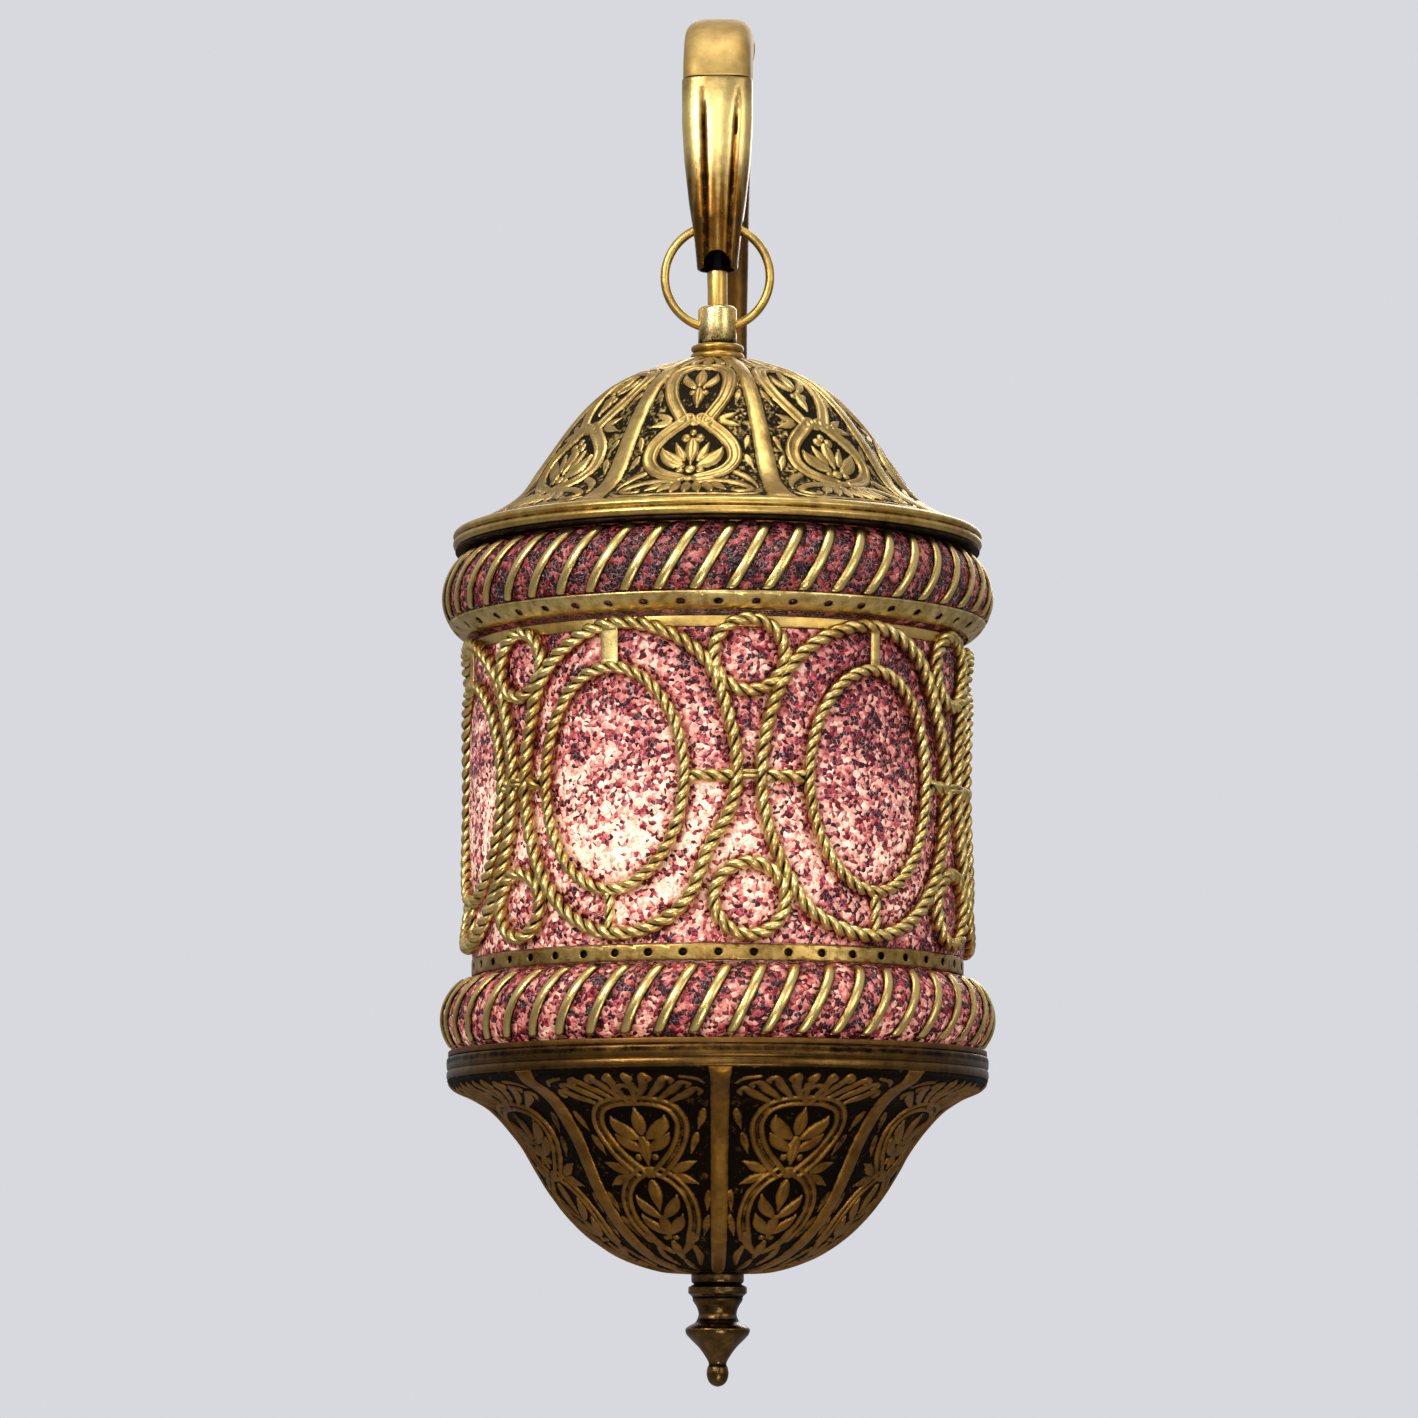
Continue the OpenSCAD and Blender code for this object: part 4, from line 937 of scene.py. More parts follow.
# beak: turned taper flattened front and back, with a raised middle rib and a bead on each side
zt = np.linspace(255.9, 178.3, 150)
rz = np.interp(-zt, [-256, -238, -222, -205, -190, -182, -178.2], [14.3, 14.3, 13.3, 11.4, 9.2, 8.45, 8.15])
na = 120
al = np.arange(na) * 2 * pi / na
rows_o, rel_o = [], []
for z, r in zip(zt, rz):
    x = r * np.sin(al)
    y = -np.minimum(r, 10.45 + 0 * al) * np.sign(np.cos(al)) * np.minimum(np.abs(np.cos(al)) * 1.0, 1) ** 0.55
    y = np.clip(y, -10.45, 10.45)
    f = (z - 178.2) / 77.8
    turn = 1.5 * f
    xl, xr = -7.4 * (0.55 + 0.45 * f) + turn, 7.6 * (0.55 + 0.45 * f) + turn
    g = np.exp(-((x - xl) / 0.95) ** 2) + np.exp(-((x - xr) / 0.95) ** 2)
    mid = np.clip(1 - ((x - (xl + xr) / 2) / ((xr - xl) / 2)) ** 2, 0, 1)
    face = np.abs(np.cos(al)) ** 0.5
    amp = 0.25 + 0.75 * f
    top_fade = np.clip((252.0 - z) / 14.0, 0, 1)
    dy = (-1.5 * g * amp - 0.9 * (1 - mid) * (mid > 0) * amp + 0.1 * mid) * face * top_fade
    pull = max(0, 0.2 - 0.2 * min(1, (255.9 - z) / 0.5)) + max(0, 0.8 - math.sqrt(max(0, 0.64 - max(0, 0.8 - (z - 178.3)) ** 2)))
    y2 = y - np.sign(np.cos(al)) * dy
    sc = (r - pull) / r
    rows_o.append(np.stack([x * sc, y2 * sc, np.full(na, z)], 1))
    rel_o.append(np.clip(0.95 - 1.0 * g * amp * face, 0, 1))
inner = []
for z in np.linspace(178.3, 255.0, 40):
    r = np.interp(-z, [-256, -206, -190, -178.2], [8.1, 8.1, 6.8, 6.8])
    inner.append(np.stack([r * np.sin(al), -r * np.cos(al), np.full(na, z)], 1))
rowsv = rows_o + inner
vv = np.array(rowsv)
vr = vv.transpose(1, 0, 2).reshape(-1, 3)
q = grid_quads(na, len(rowsv), close_u=True, close_v=True)
q, _ = orient(vr, q)


def beak_patina_and_painted_light(c):
    f = (c[:, 2] - 178.2) / 77.8
    xl, xr = -7.4 * (0.55 + 0.45 * f) + 1.5 * f, 7.6 * (0.55 + 0.45 * f) + 1.5 * f
    g = 1.25 * np.exp(-((c[:, 0] - xl) / 1.25) ** 2) + np.exp(-((c[:, 0] - xr) / 1.1) ** 2)
    ins = np.hypot(c[:, 0], c[:, 1]) < 8.14
    # painted light: the lighter band around z 228-248 is a painted highlight, and the darker lower beak with its
    # side-to-side waves is painted shade; the darker grooves are patina
    low = np.interp(c[:, 2], [178, 203, 214, 228, 242, 248, 256], [0.30, 0.34, 0.48, 0.90, 0.98, 0.78, 0.58])
    low = low + 0.10 * np.sin(c[:, 0] * 1.9 + 0.6) * np.clip((232 - c[:, 2]) / 20, 0, 1)
    g = g * np.clip((252 - c[:, 2]) / 14, 0, 1)
    return np.where(ins & (np.hypot(c[:, 0], c[:, 1]) < np.interp(-c[:, 2], [-256, -190, -178], [8.3, 7.0, 7.0])), 0.0, low - 0.9 * g * (0.35 + 0.65 * f))


bored("arm_beak_fluted", (vr, q, None), M_beak, "bracket", ["arm_beak"],
      [((0, 0, 195.4), (1, 0, 0), 3.3, 30), ((0, -15, 179.6), (0, 1, 0), 5.4, 14)], beak_patina_and_painted_light)


# ---- wall plate, foot and screws: turned about the horizontal axis at the wall ----
def turned_y(name, prof, mat, body, nodes, centres=((0, 0),), n=192, r=0.5, axis_ends=False):
    """prof is (radius, distance from the wall) in mm."""
    B_ = Batch()
    prof = np.asarray(prof, float)
    prof = prof if axis_ends else rounded(prof, r, 4)
    for cx, cz in centres:
        if axis_ends:
            v, q, t = lathe_axis(prof, n)
        else:
            v, q = lathe(prof, n)
            t = None
        v = np.stack([v[:, 0] + cx, 165 - v[:, 2], 60 + cz + v[:, 1]], 1)
        q, t = orient(v, q, t)
        B_.add(v, q, t, relief=0.85)
    return B_.object(name, mat, body, replaces=nodes, slot=mat_slot[mat.name[5:]])


plate = [(5.3, 20.0), (45.8, 20.0), (51.0, 16.9), (53.4, 5.2), (55.0, 3.9), (55.0, 0.1), (53.5, 0.1), (53.3, 3.3), (51.8, 4.5), (49.6, 15.9), (45.3, 18.5), (5.3, 18.5)]
pv, pq = lathe(rounded(plate, 1.3, 5), 256)
pv = np.stack([pv[:, 0], 165 - pv[:, 2], 60 + pv[:, 1]], 1)
pq, _ = orient(pv, pq)
bored("wall_plate_spun", (pv, pq, None), M_arm, "bracket", ["wall_plate"], [((x, 150, 60), (0, 1, 0), 2.3, 14) for x in (-41, 41)],
      lambda c: np.full(len(c), 0.9))
turned_y("arm_foot_flange", [(3.7, 9.1), (4.9, 9.1), (4.9, 20.05), (14.9, 20.05), (14.9, 21.3), (12.1, 22.22), (3.7, 22.22)], M_arm, "bracket", ["arm_foot"], r=0.5)
turned_y("plate_screw_heads", [(0, 0.3), (1.5, 0.3), (1.85, 0.7), (1.85, 20.1), (4.0, 20.1), (4.15, 20.4), (4.15, 21.4), (3.4, 22.8), (2.0, 23.8), (0, 24.2)], M_arm, "bracket",
         ["plate_screws"], centres=((-41, 0), (41, 0)), n=48, axis_ends=True)

# ---- finial ----
fin = smooth_line([(0, -224.6), (6, -224.6), (10.2, -224.6), (10.4, -225.2), (10.35, -228.0), (9.5, -229.0), (10.6, -229.7), (11.5, -230.2), (11.6, -231.4), (11.5, -232.6), (10.3, -233.7),
                   (9.9, -234.6), (9.8, -235.6), (8.3, -238), (7.55, -240.5), (7.9, -242.4), (8.9, -244.1), (11.2, -245.4), (12.6, -246.5), (12.75, -247.6),
                   (12.2, -249), (10.4, -251), (7.4, -254), (4.8, -257.6), (3.5, -260.2), (3.9, -261.6), (4.15, -262.4), (4.35, -264.4), (3.7, -267), (2.2, -268.7), (0, -269.45)], 4)
fin[0, 0] = 0
fin[-1, 0] = 0
fin[:, 0] = np.clip(fin[:, 0], 0, None)
turned("finial_turned", fin, M_fin, "finial", ["finial"], 128, 0, axis_ends=True, relief=groove_dark([-229.0, -234.4, -224.8, -243.2, -261.0], 0.8, 0.95, 0.1))

# ---------------------------------------------------------------------------
# Glass rolls with their leaning ribs
# ---------------------------------------------------------------------------
ROLL_R, ROLL_r = 92.0, 17.2


def ring_pt(ph, rm, th, zc):
    r = ROLL_R + rm * np.cos(th)
    return np.stack([r * np.sin(ph), -r * np.cos(ph), roll_z(rm * np.sin(th), zc) + 0 * r], -1)


def roll_z(dz, zc):
    """The upper roll is a little fuller above its middle than below."""
    return zc + dz + (0.8 + 1.9 * np.clip(dz / 17.0, 0, 1) ** 1.5 if zc > 0 else 0.0)


def glass_roll(name, zc, lean, mat, node, slot, seed):
    n = 960
    ph = np.arange(n) * 2 * pi / n
    th_o = np.radians(np.linspace(-121, 121, 72))
    th_i = np.radians(np.linspace(121, -121, 12))
    PH, TH = np.meshgrid(ph, th_o, indexing="ij")
    dz = ROLL_r * np.sin(TH)
    rr = ROLL_R + ROLL_r * np.cos(TH)
    y = math.tan(rad(lean)) * dz
    k = (PH - np.arcsin(np.clip(y / rr, -1, 1))) * 48 / (2 * pi)
    bulge = 0.55 * np.abs(np.sin(pi * k)) ** 1.2
    lump = 0.22 * value_noise(PH * 109 / 2.1 * 360 / (2 * pi * 54.4), TH * 17 / 2.0, seed) + 0.12 * value_noise(PH * 109 / 0.9, TH * 17 / 0.9, seed + 1)
    rm = ROLL_r - 0.35 + bulge + lump
    vo = ring_pt(PH, rm, TH, zc)
    PI_, TI = np.meshgrid(ph, th_i, indexing="ij")
    vi = ring_pt(PI_, ROLL_r - 2.4, TI, zc)
    v = np.concatenate([vo, vi], 1)
    m = v.shape[1]
    v = v.reshape(-1, 3)
    q = grid_quads(n, m, close_u=True, close_v=True)
    q, _ = orient(v, q)
    # painted shadow: near marks the glass beside the ribs, where their shadow is painted on
    near = np.zeros((n, m))
    near[:, :len(th_o)] = np.clip(1 - np.abs(((k + 0.5) % 1) - 0.5) * 2 * 3.2, 0, 1) * 0
    near[:, :len(th_o)] = np.clip((0.36 - np.abs(((k + 0.5) % 1) - 0.5)) / 0.2, 0, 1)
    return make(name, v, q, mat, "lantern", attrs={"near": near.ravel()}, replaces=[node], slot=slot)


glass_roll("upper_roll_glass", 42.8, 30, M_glass_up, "upper_glass_roll", "mauve_crackle_glass", 31)
glass_roll("lower_roll_glass", -124.5, 26, M_glass_low, "lower_glass_roll", "mauve_crackle_glass", 41)


def roll_ribs(name, zc, lo, hi, lean, node, seed):
    B_ = Batch()
    rg = np.random.default_rng(seed)
    wid, nseg, nc = 4.3, 30, 13
    xs = np.cos(np.linspace(pi, 0, nc)) * wid / 2
    hs = np.sqrt(np.clip(1 - (xs / (wid / 2)) ** 2, 0, 1))
    sec = np.concatenate([np.stack([xs, hs], 1), np.stack([xs[::-1][1:-1] * 0.96, np.zeros(nc - 2)], 1)])
    m = len(sec)
    for i in range(48):
        ph0 = 2 * pi * i / 48 + rg.normal(0, 0.0022)
        ln = lean + rg.normal(0, 0.6)
        dz = np.linspace(lo, hi, nseg)
        # even spacing along the arc
        th = np.linspace(math.asin(lo / 18.0), math.asin(hi / 18.0), nseg)
        dzs = 18.0 * np.sin(th)
        end = np.minimum(1, np.minimum(np.arange(nseg), nseg - 1 - np.arange(nseg)) / 1.6)
        end = np.sqrt(np.clip(1 - (1 - end) ** 2, 0, 1)) * 0.85 + 0.15
        rowv = []
        for T, e, z in zip(th, end, dzs):
            y = math.tan(rad(ln)) * z
            base = 17.05
            top = 18.5
            rm = base + (top - base) * sec[:, 1] * e
            off = y + sec[:, 0] * (0.6 + 0.4 * e) / math.cos(rad(ln))
            r = ROLL_R + rm * math.cos(T)
            p = ph0 + np.arcsin(off / r)
            rowv.append(np.stack([r * np.sin(p), -r * np.cos(p), roll_z(rm * math.sin(T), zc)], 1))
        vv = np.array(rowv)
        v = vv.reshape(-1, 3)
        q = grid_quads(nseg, m, close_v=True)
        a_, b_ = len(v), len(v) + 1
        v = np.concatenate([v, [vv[0].mean(0)], [vv[-1].mean(0)]])
        ii = np.arange(m)
        jj = (ii + 1) % m
        t = np.concatenate([np.stack([np.full(m, a_), jj, ii], 1), np.stack([np.full(m, b_), (nseg - 1) * m + ii, (nseg - 1) * m + jj], 1)])
        q, t = orient(v, q, t)
        # the crest of each rib is lighter and its edges darker: partly wear and patina, partly a painted highlight and
        # painted shade
        rel = np.concatenate([np.tile(np.clip(0.12 + 0.92 * sec[:, 1] ** 1.2, 0, 1), nseg), [0.5, 0.5]])
        B_.add(v, q, t, relief=rel)
    return B_.object(name, M_rib, "lantern", replaces=[node], slot="antique_brass")


roll_ribs("upper_ribs_brass", 42.8, -9.4, 16.3, 30, "upper_roll_ribs", 71)
roll_ribs("lower_ribs_brass", -124.5, -11.9, 15.5, 26, "lower_roll_ribs", 72)


# ---------------------------------------------------------------------------
# Pierced bands
# ---------------------------------------------------------------------------
def pierced(name, surf, a_len, count, hole_r, mat, node, ph_off=0.0, thick=1.0, rim=0.16):
    """Band with a row of round holes. surf(ph, t, o) gives the point at angle ph, position t (mm) across the band and offset o outwards."""
    B_ = Batch()
    nb = 32
    ang = np.arange(nb) * 2 * pi / nb + pi / nb * 0
    pitch = 2 * pi / count
    W = 100.5 * pitch / 2
    Hh = a_len / 2
    # square outline hit by each direction
    c, s = np.cos(ang), np.sin(ang)
    k = 1 / np.maximum(np.abs(c) / W, np.abs(s) / Hh)
    # make sure the corners are there
    sqx, sqy = c * k, s * k
    for cx, cy in ((1, 1), (-1, 1), (-1, -1), (1, -1)):
        j = np.argmin(np.hypot(sqx - cx * W, sqy - cy * Hh))
        sqx[j], sqy[j] = cx * W, cy * Hh
    fr = [0.0, 0.12, 0.30, 0.62, 1.0]
    lift = [0.0, rim, rim, 0.0, 0.0]
    for i in range(count):
        p0 = ph_off + pitch * i
        layers = []
        for f, l in zip(fr, lift):
            x = hole_r * c * (1 - f) + sqx * f
            y = hole_r * s * (1 - f) + sqy * f
            layers.append(surf(p0 + x / 100.5, y, thick / 2 + l * 0.5))
        for f in reversed(fr):
            x = hole_r * c * (1 - f) + sqx * f
            y = hole_r * s * (1 - f) + sqy * f
            layers.append(surf(p0 + x / 100.5, y, -thick / 2))
        # order: hole edge (outer) .. square (outer) .. square (inner) .. hole edge (inner)
        vv = np.array(layers)
        v = vv.transpose(1, 0, 2).reshape(-1, 3)
        m = len(layers)
        q = grid_quads(nb, m, close_u=True, close_v=True)
        rel = np.tile([0.5, 0.9, 0.95, 0.95, 0.85] + [0.3] * 5, nb)
        B_.add(v, q, relief=rel)
    # weld neighbouring cells and drop the walls between them
    V = np.concatenate(B_.v)
    Q = np.concatenate(B_.q)
    A = np.concatenate(B_.a["relief"])
    key = np.round(V / 0.004).astype(np.int64)
    _, first, inv = np.unique(key, axis=0, return_index=True, return_inverse=True)
    inv = inv.reshape(-1)
    V, A = V[first], A[first]
    Q = inv[Q]
    srt = np.sort(Q, 1)
    _, ix, cnt = np.unique(srt, axis=0, return_index=True, return_counts=True)
    Q = Q[np.sort(ix[cnt == 1])]
    Q, _ = orient(V, Q)
    return make(name, V, Q, mat, "lantern", attrs={"relief": A}, replaces=[node], slot="antique_brass")


def upper_surf(ph, t, o):
    th = np.radians(-48) + t / 18.0
    return ring_pt(ph, 17.95 + o, th, 42.8)


def lower_surf(ph, t, o):
    r = 97.35 + o
    return np.stack([r * np.sin(ph), -r * np.cos(ph), -104.3 + t + 0 * ph], -1)


pierced("upper_pierced_strip", upper_surf, 9.4, 45, 1.5, M_rope, "upper_pierced_band", rad(2 + 0.1), 0.95)
pierced("lower_pierced_strip", lower_surf, 6.5, 45, 1.5, M_strip, "lower_pierced_band", rad(2 - 4.0 + 4.1), 0.95)
# painted shade: a black band behind the lower strip's holes stands in for the shadow inside the lantern
lv, lq = lathe([(96.2, -107.4), (96.55, -107.4), (96.55, -101.1), (96.2, -101.1)], 256)
lq, _ = orient(lv, lq)
make("pierced_strip_liner", lv, lq, M_black, "lantern", slot="black_patina")
turned("upper_trim_ring", [(96.7, 20.95), (97.9, 20.95), (97.9, 25.45), (96.7, 25.45)], M_brass, "lantern", ["upper_trim_band"], 384, 0.45)

# ---------------------------------------------------------------------------
# Twisted-wire cage
# ---------------------------------------------------------------------------
MED = [[-77.5, 28.3, -73, 19], [-20, 28, -22.6, 18.7], [38.4, 28.5, 39.4, 18.3], [98.8, 28, 98.8, 18.7], [159.2, 28, 159.2, 18.7], [220, 28, 220, 18.7]]
OVAL_Z, LOOP_H, OVAL_H, WIRE = -36.9, 62.7, 45.6, 5.2
CIRC_R = [12.6, 13.9, 13.9, 13.9, 13.9, 14.2]      # to the middle of the wire
rope_pts = []


def on_shell(x0, x, z, r=100.0):
    """x mm round the shell from angle x0 (degrees)."""
    p = rad(x0) + x
    return np.stack([r * np.sin(p), -r * np.cos(p), z + 0 * p], -1)


def rope(B_, ph, z, closed=True, r=100.0, strand=1.56, off=1.30, pitch=11.6, sec=10, phase=0.0, keep=True):
    pts = np.stack([r * np.sin(ph), -r * np.cos(ph), z], 1)
    if closed:
        pts = np.concatenate([pts, pts[:1]])
    line, s = resample(pts, 0.62)
    if closed:
        line, L = line[:-1], s[-1]
        s = s[:-1]
        turns = max(1, round(L / pitch))
        w = 2 * pi * turns * s / L
    else:
        L = s[-1]
        w = 2 * pi * s / pitch
    nrm = np.stack([line[:, 0], line[:, 1], 0 * line[:, 0]], 1)
    nrm /= np.linalg.norm(nrm, axis=1, keepdims=True)
    tan = (np.roll(line, -1, 0) - np.roll(line, 1, 0)) if closed else np.gradient(line, axis=0)
    tan /= np.linalg.norm(tan, axis=1, keepdims=True)
    nrm = nrm - (nrm * tan).sum(1, keepdims=True) * tan
    nrm /= np.linalg.norm(nrm, axis=1, keepdims=True)
    bi = np.cross(tan, nrm)
    for k in range(2):
        a = w + k * pi + phase
        c = line + off * (np.cos(a)[:, None] * nrm + np.sin(a)[:, None] * bi)
        radial = c - line
        ends = 1.0
        scale = None
        if not closed:
            e = np.minimum(s, L - s)
            sc = np.sqrt(np.clip(1 - (1 - np.clip(e / 1.2, 0, 1)) ** 2, 0.03, 1))
            scale = np.stack([sc, sc], 1)
        v, q, t = tube(c, radial, circle(strand, sec), closed=closed, scale=scale)
        # brightness: outside of the rope is worn, the valleys stay dark
        cen = np.repeat(line, sec, 0)
        vv = v[:len(cen)]
        d = np.linalg.norm(vv - cen, axis=1) / (strand + off)
        rel = np.clip((d - 0.35) / 0.5, 0, 1)
        rel = np.concatenate([rel, np.full(len(v) - len(cen), 0.5)])
        B_.add(v, q, t, relief=rel)
    if keep:
        rope_pts.append(line[::2])


def oval_path(m_a, half_a, half_h, narrow=0.0, n=360, bend=()):
    t = np.arange(n) * 2 * pi / n
    x = 100 * np.sin(np.radians(half_a * np.cos(t))) - WIRE / 2 * np.cos(t)
    z = (half_h - WIRE / 2) * np.sin(t)
    x = x * (1 - narrow * np.where(z < 0, np.abs(z / half_h) ** 1.5, 0))
    for side, amp, zc, wz in bend:
        x = x + amp * np.clip(side * np.cos(t) * 3, 0, 1) * np.exp(-((z - zc) / wz) ** 2)
    return rad(m_a) + np.arcsin(x / 100), OVAL_Z + z


def side_a(half, z):
    return half * math.sqrt(1 - ((z - OVAL_Z) / LOOP_H) ** 2)


def gap_mid(k, z):
    nxt = MED[(k + 1) % 6]
    na_ = nxt[0] + (360 if k == 5 else 0)
    return (MED[k][0] + side_a(MED[k][1], z) + na_ - side_a(nxt[1], z)) / 2


# the loops are bent by hand: (side, mm, height, spread) of small departures from an even oval
LOOP_BEND = [[(1, 2.0, 44, 12), (-1, 1.2, -30, 16)], [(1, -5.2, -30, 15), (1, 3.0, 46, 13), (-1, -2.6, 42, 14)], [(-1, -2.0, 45, 12), (-1, -2.6, -52, 10), (1, -2.0, 30, 16)],
             [(1, 2.0, 44, 12), (-1, 1.5, -34, 14)], [(-1, -2.0, 42, 14), (1, -2.4, -30, 15)], [(1, 1.8, 46, 12), (-1, -1.8, -45, 12)]]
B1, B2, B3, B4, B5 = Batch(), Batch(), Batch(), Batch(), Batch()
for i, m in enumerate(MED):
    ph, z = oval_path(m[0], m[1], LOOP_H, 0.03, bend=LOOP_BEND[i])
    rope(B1, ph, z, phase=0.7 * i)
    ph, z = oval_path(m[2], m[3], OVAL_H, 0.03)
    rope(B2, ph, z, phase=1.1 * i, strand=1.36, off=1.14, pitch=10.4)
for k in range(6):
    for zc, B_ in ((10.0, B3), (-84.0, B4)):
        t = np.arange(160) * 2 * pi / 160
        x = CIRC_R[k] * np.cos(t)
        rope(B_, rad(gap_mid(k, zc)) + np.arcsin(x / 100), zc + CIRC_R[k] * np.sin(t), phase=0.5 * k, strand=1.52, off=1.26)
for i, m in enumerate(MED):
    # sideways ties, top strip, bottom tie
    for side in (-1, 1):
        a1, a2 = m[2] + side * m[3], m[0] + side * m[1] - side * math.degrees(WIRE / 100)
        p = np.linspace(rad(a1) - side * 0.01, rad(a2) + side * 0.01, 12)
        rope(B5, p, np.full(12, OVAL_Z), closed=False, keep=False, phase=0.4)
    z = np.linspace(OVAL_Z - OVAL_H + 1.5, OVAL_Z - LOOP_H + WIRE - 1.0, 12)
    rope(B5, np.full(12, rad(m[2])), z, closed=False, keep=False, strand=1.2, off=1.0)
    zz = np.linspace(OVAL_Z + OVAL_H - 1.5, OVAL_Z + LOOP_H - WIRE + 1.0, 9)
    wst = 3.6 if i % 2 == 1 else 2.2
    pathv = np.stack([100.3 * np.sin(rad(m[2])) + 0 * zz, -100.3 * np.cos(rad(m[2])) + 0 * zz, zz], 1)
    sec = superell(0.75, wst, 3.0, 20)
    v, q, t = tube(pathv, np.tile([math.sin(rad(m[2])), -math.cos(rad(m[2])), 0], (9, 1)), sec)
    B5.add(v, q, t, relief=0.9)
    # wire wrapped round neighbouring loops where they nearly touch
    nxt = MED[(i + 1) % 6]
    e1 = m[0] + m[1]
    e2 = nxt[0] + (360 if i == 5 else 0) - nxt[1]
    mid = rad((e1 + e2) / 2)
    w = abs(rad(e2 - e1)) * 100 / 2 + 1.7
    for dzz in (-0.9, 0.9):
        t_ = np.arange(48) * 2 * pi / 48
        xx = w * np.sign(np.cos(t_)) * np.abs(np.cos(t_)) ** 0.8
        oo = 100 + np.clip(2.9 * np.sin(t_), -1.6, 2.6)
        pp = mid + xx / 100
        loop = np.stack([oo * np.sin(pp), -oo * np.cos(pp), OVAL_Z + 0.6 + dzz + 0 * pp], 1)
        v, q, t = tube(loop, np.tile([0, 0, 1.0], (48, 1)), circle(0.82, 8), closed=True)
        B5.add(v, q, t, relief=0.8)
B1.object("outer_loop_ropes", M_rope, "lantern", replaces=["outer_loops"], slot="antique_brass")
B2.object("inner_oval_ropes", M_rope, "lantern", replaces=["inner_ovals"], slot="antique_brass")
B3.object("top_circle_ropes", M_rope, "lantern", replaces=["top_circles"], slot="antique_brass")
B4.object("bottom_circle_ropes", M_rope, "lantern", replaces=["bottom_circles"], slot="antique_brass")
B5.object("cage_tie_wires", M_rope, "lantern", replaces=["cage_ties"], slot="antique_brass")

# ---- glass body, swelling out in the openings of the cage ----
allp = np.concatenate(rope_pts)
rope_ph = np.arctan2(allp[:, 0], -allp[:, 1])
rope_z = allp[:, 2]
cn, rn = 360, 100
cph = np.arange(cn) * 2 * pi / cn
cz = np.linspace(-100.8, 20.8, rn)
Dg = np.empty((cn, rn))
for i in range(cn):
    dp = (rope_ph - cph[i] + pi) % (2 * pi) - pi
    sel = np.abs(dp) < 0.45
    dx = dp[sel] * 100
    Dg[i] = np.sqrt(np.min(dx[None, :] ** 2 + (cz[:, None] - rope_z[sel][None, :]) ** 2, axis=1))
gn, gm = ((1200, 260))
gph = np.arange(gn) * 2 * pi / gn
gz = np.linspace(-100.75, 20.75, gm)
fi = gph / (2 * pi) * cn
i0 = np.floor(fi).astype(int) % cn
fx = (fi - np.floor(fi))[:, None]
fj = (gz - cz[0]) / (cz[1] - cz[0])
j0 = np.clip(np.floor(fj).astype(int), 0, rn - 2)
fy = (fj - j0)[None, :]
D = ((Dg[i0][:, j0] * (1 - fy) + Dg[i0][:, j0 + 1] * fy) * (1 - fx) + (Dg[(i0 + 1) % cn][:, j0] * (1 - fy) + Dg[(i0 + 1) % cn][:, j0 + 1] * fy) * fx)
PH, ZZ = np.meshgrid(gph, gz, indexing="ij")
swell = 2.0 * (1 - np.exp(-np.clip(D - 2.0, 0, None) / 6.0))
edge_fade = np.clip(np.minimum(ZZ + 100.75, 20.75 - ZZ) / 5.0, 0, 1)
arc = PH / (2 * pi)
lump = 0.30 * value_noise(arc * 280, ZZ / 2.2, 51, 280) + 0.16 * value_noise(arc * 590, ZZ / 1.05, 52, 590)
Rg = 97.35 + (swell + lump) * (0.15 + 0.85 * edge_fade)
vo = np.stack([Rg * np.sin(PH), -Rg * np.cos(PH), ZZ], -1)
zi = np.linspace(20.75, -100.75, 14)
PI2, ZI = np.meshgrid(gph, zi, indexing="ij")
vi = np.stack([95.3 * np.sin(PI2), -95.3 * np.cos(PI2), ZI], -1)
v = np.concatenate([vo, vi], 1)
m = v.shape[1]
q = grid_quads(gn, m, close_u=True, close_v=True)
v = v.reshape(-1, 3)
q, _ = orient(v, q)
# painted shadow: near marks the glass beside the ropes, where their shadow is painted on
near = np.zeros((gn, m))
near[:, :gm] = np.clip(1 - (D - 2.6) / 2.9, 0, 1) ** 1.15
make("glass_body_crackle", v, q, M_glass, "lantern", attrs={"near": near.ravel()}, replaces=["glass_body"], slot="rose_crackle_glass")

# ---------------------------------------------------------------------------
# Inner parts keep their CAD mesh and take a procedural finish
# ---------------------------------------------------------------------------
def flat_brass(name, hi, lo, rough):
    k = Nodes(name)
    n = k.noise(300, 4, 0.6)
    return k.put(Base_Color=k.ramp(n, [(0.35, lo), (0.65, hi)]), Metallic=1.0, Roughness=k.math('ADD', rough, k.math('MULTIPLY', n, 0.2)),
                 Normal=k.bump(n, 0.2, 0.0004))


M_tube = flat_brass("tube_brass", srgb(214, 178, 100), srgb(170, 132, 62), 0.3)
kk = Nodes("frosted_glass")
nn = kk.noise(120, 3, 0.5)
M_bulb = kk.put(Base_Color=kk.ramp(nn, [(0.3, srgb(244, 232, 214)), (0.7, srgb(255, 248, 236))]), Roughness=0.35,
                Emission_Color=kk.ramp(nn, [(0.3, srgb(255, 224, 190)), (0.7, srgb(255, 236, 210))]), Emission_Strength=1.5)
inner_mats = {
    M_steel: ["wall_strap", "arm_foot_nut", "dome_washer", "dome_nut", "spider_bar", "spider_nuts", "spider_screws", "bottom_bar", "centre_rod", "rod_nuts", "bulb_cap"],
    M_blackp: ["supply_lead", "lantern_lead", "holder_cap", "holder_shell"],
    M_white: ["terminal_block", "holder_block"],
    M_tube: ["centre_tube", "holder_contacts"],
    M_bulb: ["bulb_glass"],
}
for mat, names in inner_mats.items():
    for nme in names:
        ob = frame["nodes"][nme]
        ob.data.materials.clear()
        ob.data.materials.append(mat)

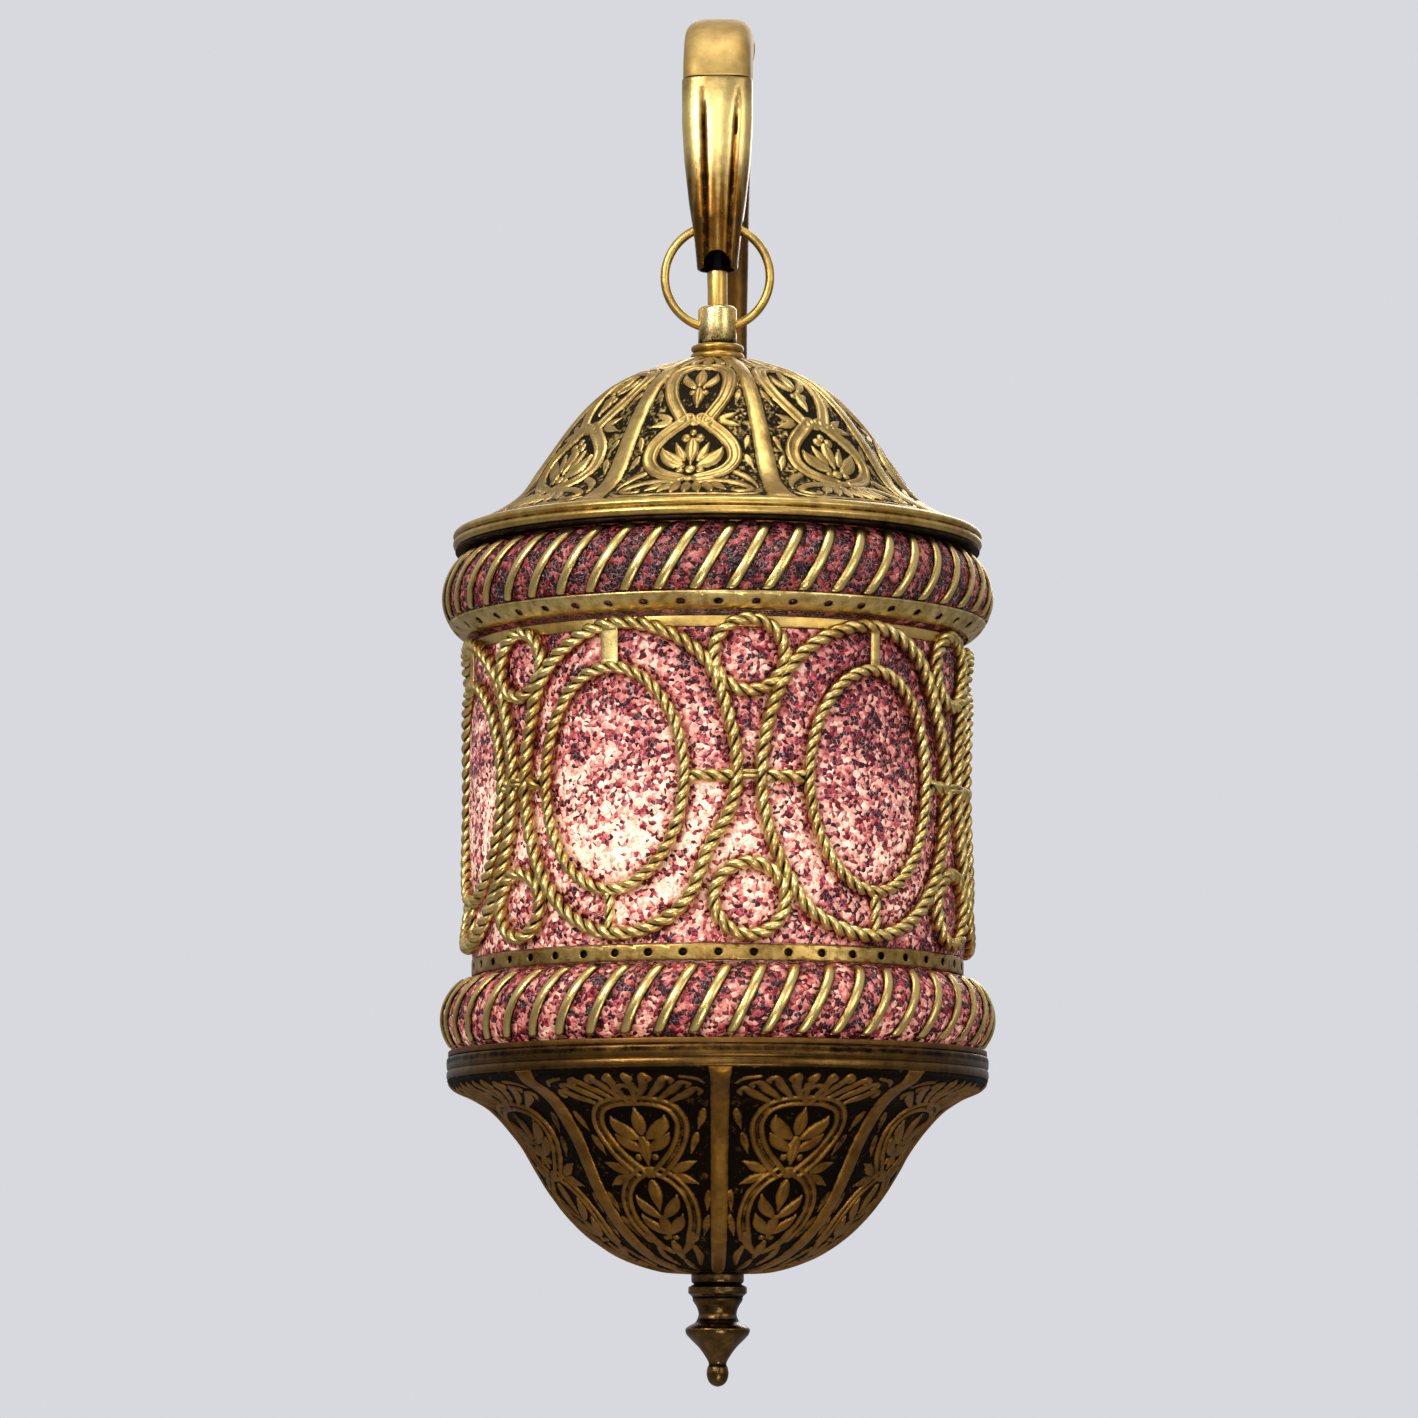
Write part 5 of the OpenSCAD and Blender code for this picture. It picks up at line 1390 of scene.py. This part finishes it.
# ---------------------------------------------------------------------------
# Camera, light and backdrop
# ---------------------------------------------------------------------------
cam = bpy.data.objects.new("main_camera", bpy.data.cameras.new("main_camera"))
bpy.context.scene.collection.objects.link(cam)
from mathutils import Matrix, Vector
az, pitch = rad(2.0), rad(6.5)
fwd = Vector((-math.sin(az) * math.cos(pitch), math.cos(az) * math.cos(pitch), math.sin(pitch)))
right = Vector((math.cos(az), math.sin(az), 0))
up = right.cross(fwd)
axis_pt = Vector((0, -P, 0))
cam.location = axis_pt - Vector((-math.sin(az), math.cos(az), 0)) * 2.4 + Vector((0, 0, -0.2734 - Z0)) - right * 0.0034
cam.matrix_world = Matrix.Translation(cam.location) @ Matrix(((right.x, up.x, -fwd.x), (right.y, up.y, -fwd.y), (right.z, up.z, -fwd.z))).to_4x4()
cam.data.lens = 153.3
cam.data.sensor_width = 36
cam.data.clip_start = 0.05
cam.data.clip_end = 60
bpy.context.scene.camera = cam

scene = bpy.context.scene
scene.view_settings.view_transform = 'Standard'
scene.view_settings.look = 'None'
scene.view_settings.exposure = 0
scene.view_settings.gamma = 1

BACK = srgb(216, 217, 222)
w = bpy.data.worlds.new("soft_studio")
scene.world = w
w.use_nodes = True
nt = w.node_tree
bg = nt.nodes["Background"]
lp = nt.nodes.new("ShaderNodeLightPath")
tc = nt.nodes.new("ShaderNodeTexCoord")
sp = nt.nodes.new("ShaderNodeSeparateXYZ")
nt.links.new(tc.outputs["Generated"], sp.inputs[0])
rp = nt.nodes.new("ShaderNodeValToRGB")
el = rp.color_ramp.elements
el[0].position, el[0].color = 0.0, (0.36, 0.345, 0.33, 1)
el[1].position, el[1].color = 1.0, (0.50, 0.50, 0.51, 1)
mid = el.new(0.45)
mid.color = (0.17, 0.17, 0.175, 1)
mid2 = el.new(0.62)
mid2.color = (0.42, 0.42, 0.43, 1)
mp = nt.nodes.new("ShaderNodeMath")
mp.operation = 'MULTIPLY_ADD'
mp.inputs[1].default_value = 0.5
mp.inputs[2].default_value = 0.5
nt.links.new(sp.outputs[2], mp.inputs[0])
nt.links.new(mp.outputs[0], rp.inputs[0])
mx = nt.nodes.new("ShaderNodeMix")
mx.data_type = 'RGBA'
nt.links.new(lp.outputs["Is Camera Ray"], mx.inputs[0])
nt.links.new(rp.outputs[0], mx.inputs[6])
mx.inputs[7].default_value = (BACK[0], BACK[1], BACK[2], 1)
nt.links.new(mx.outputs[2], bg.inputs[0])
bg.inputs[1].default_value = 1.0


def area(name, loc, target, size, power, color=(1, 1, 1), size_y=None):
    d = bpy.data.lights.new(name, 'AREA')
    d.energy = power
    d.size = size
    d.color = color
    if size_y:
        d.shape = 'RECTANGLE'
        d.size_y = size_y
    o = bpy.data.objects.new(name, d)
    scene.collection.objects.link(o)
    o.location = loc
    dirv = Vector(target) - Vector(loc)
    o.rotation_euler = dirv.to_track_quat('-Z', 'Y').to_euler()
    return o


mid_pt = (0, -P, -0.06)
area("key_light", (-1.1, -1.7, 0.9), mid_pt, 0.55, 22, (1, 0.985, 0.96))
area("fill_light", (1.4, -1.5, 0.25), mid_pt, 0.9, 7, (0.97, 0.98, 1))
area("top_light", (0.1, -0.5, 1.4), mid_pt, 0.7, 9)
area("front_strip", (0.0, -2.1, 0.35), mid_pt, 0.25, 5, size_y=1.2)
area("low_light", (0.35, -1.7, -1.1), mid_pt, 0.5, 6, (1, 0.98, 0.95))
area("back_light", (0.2, 1.4, 0.7), mid_pt, 1.0, 10)
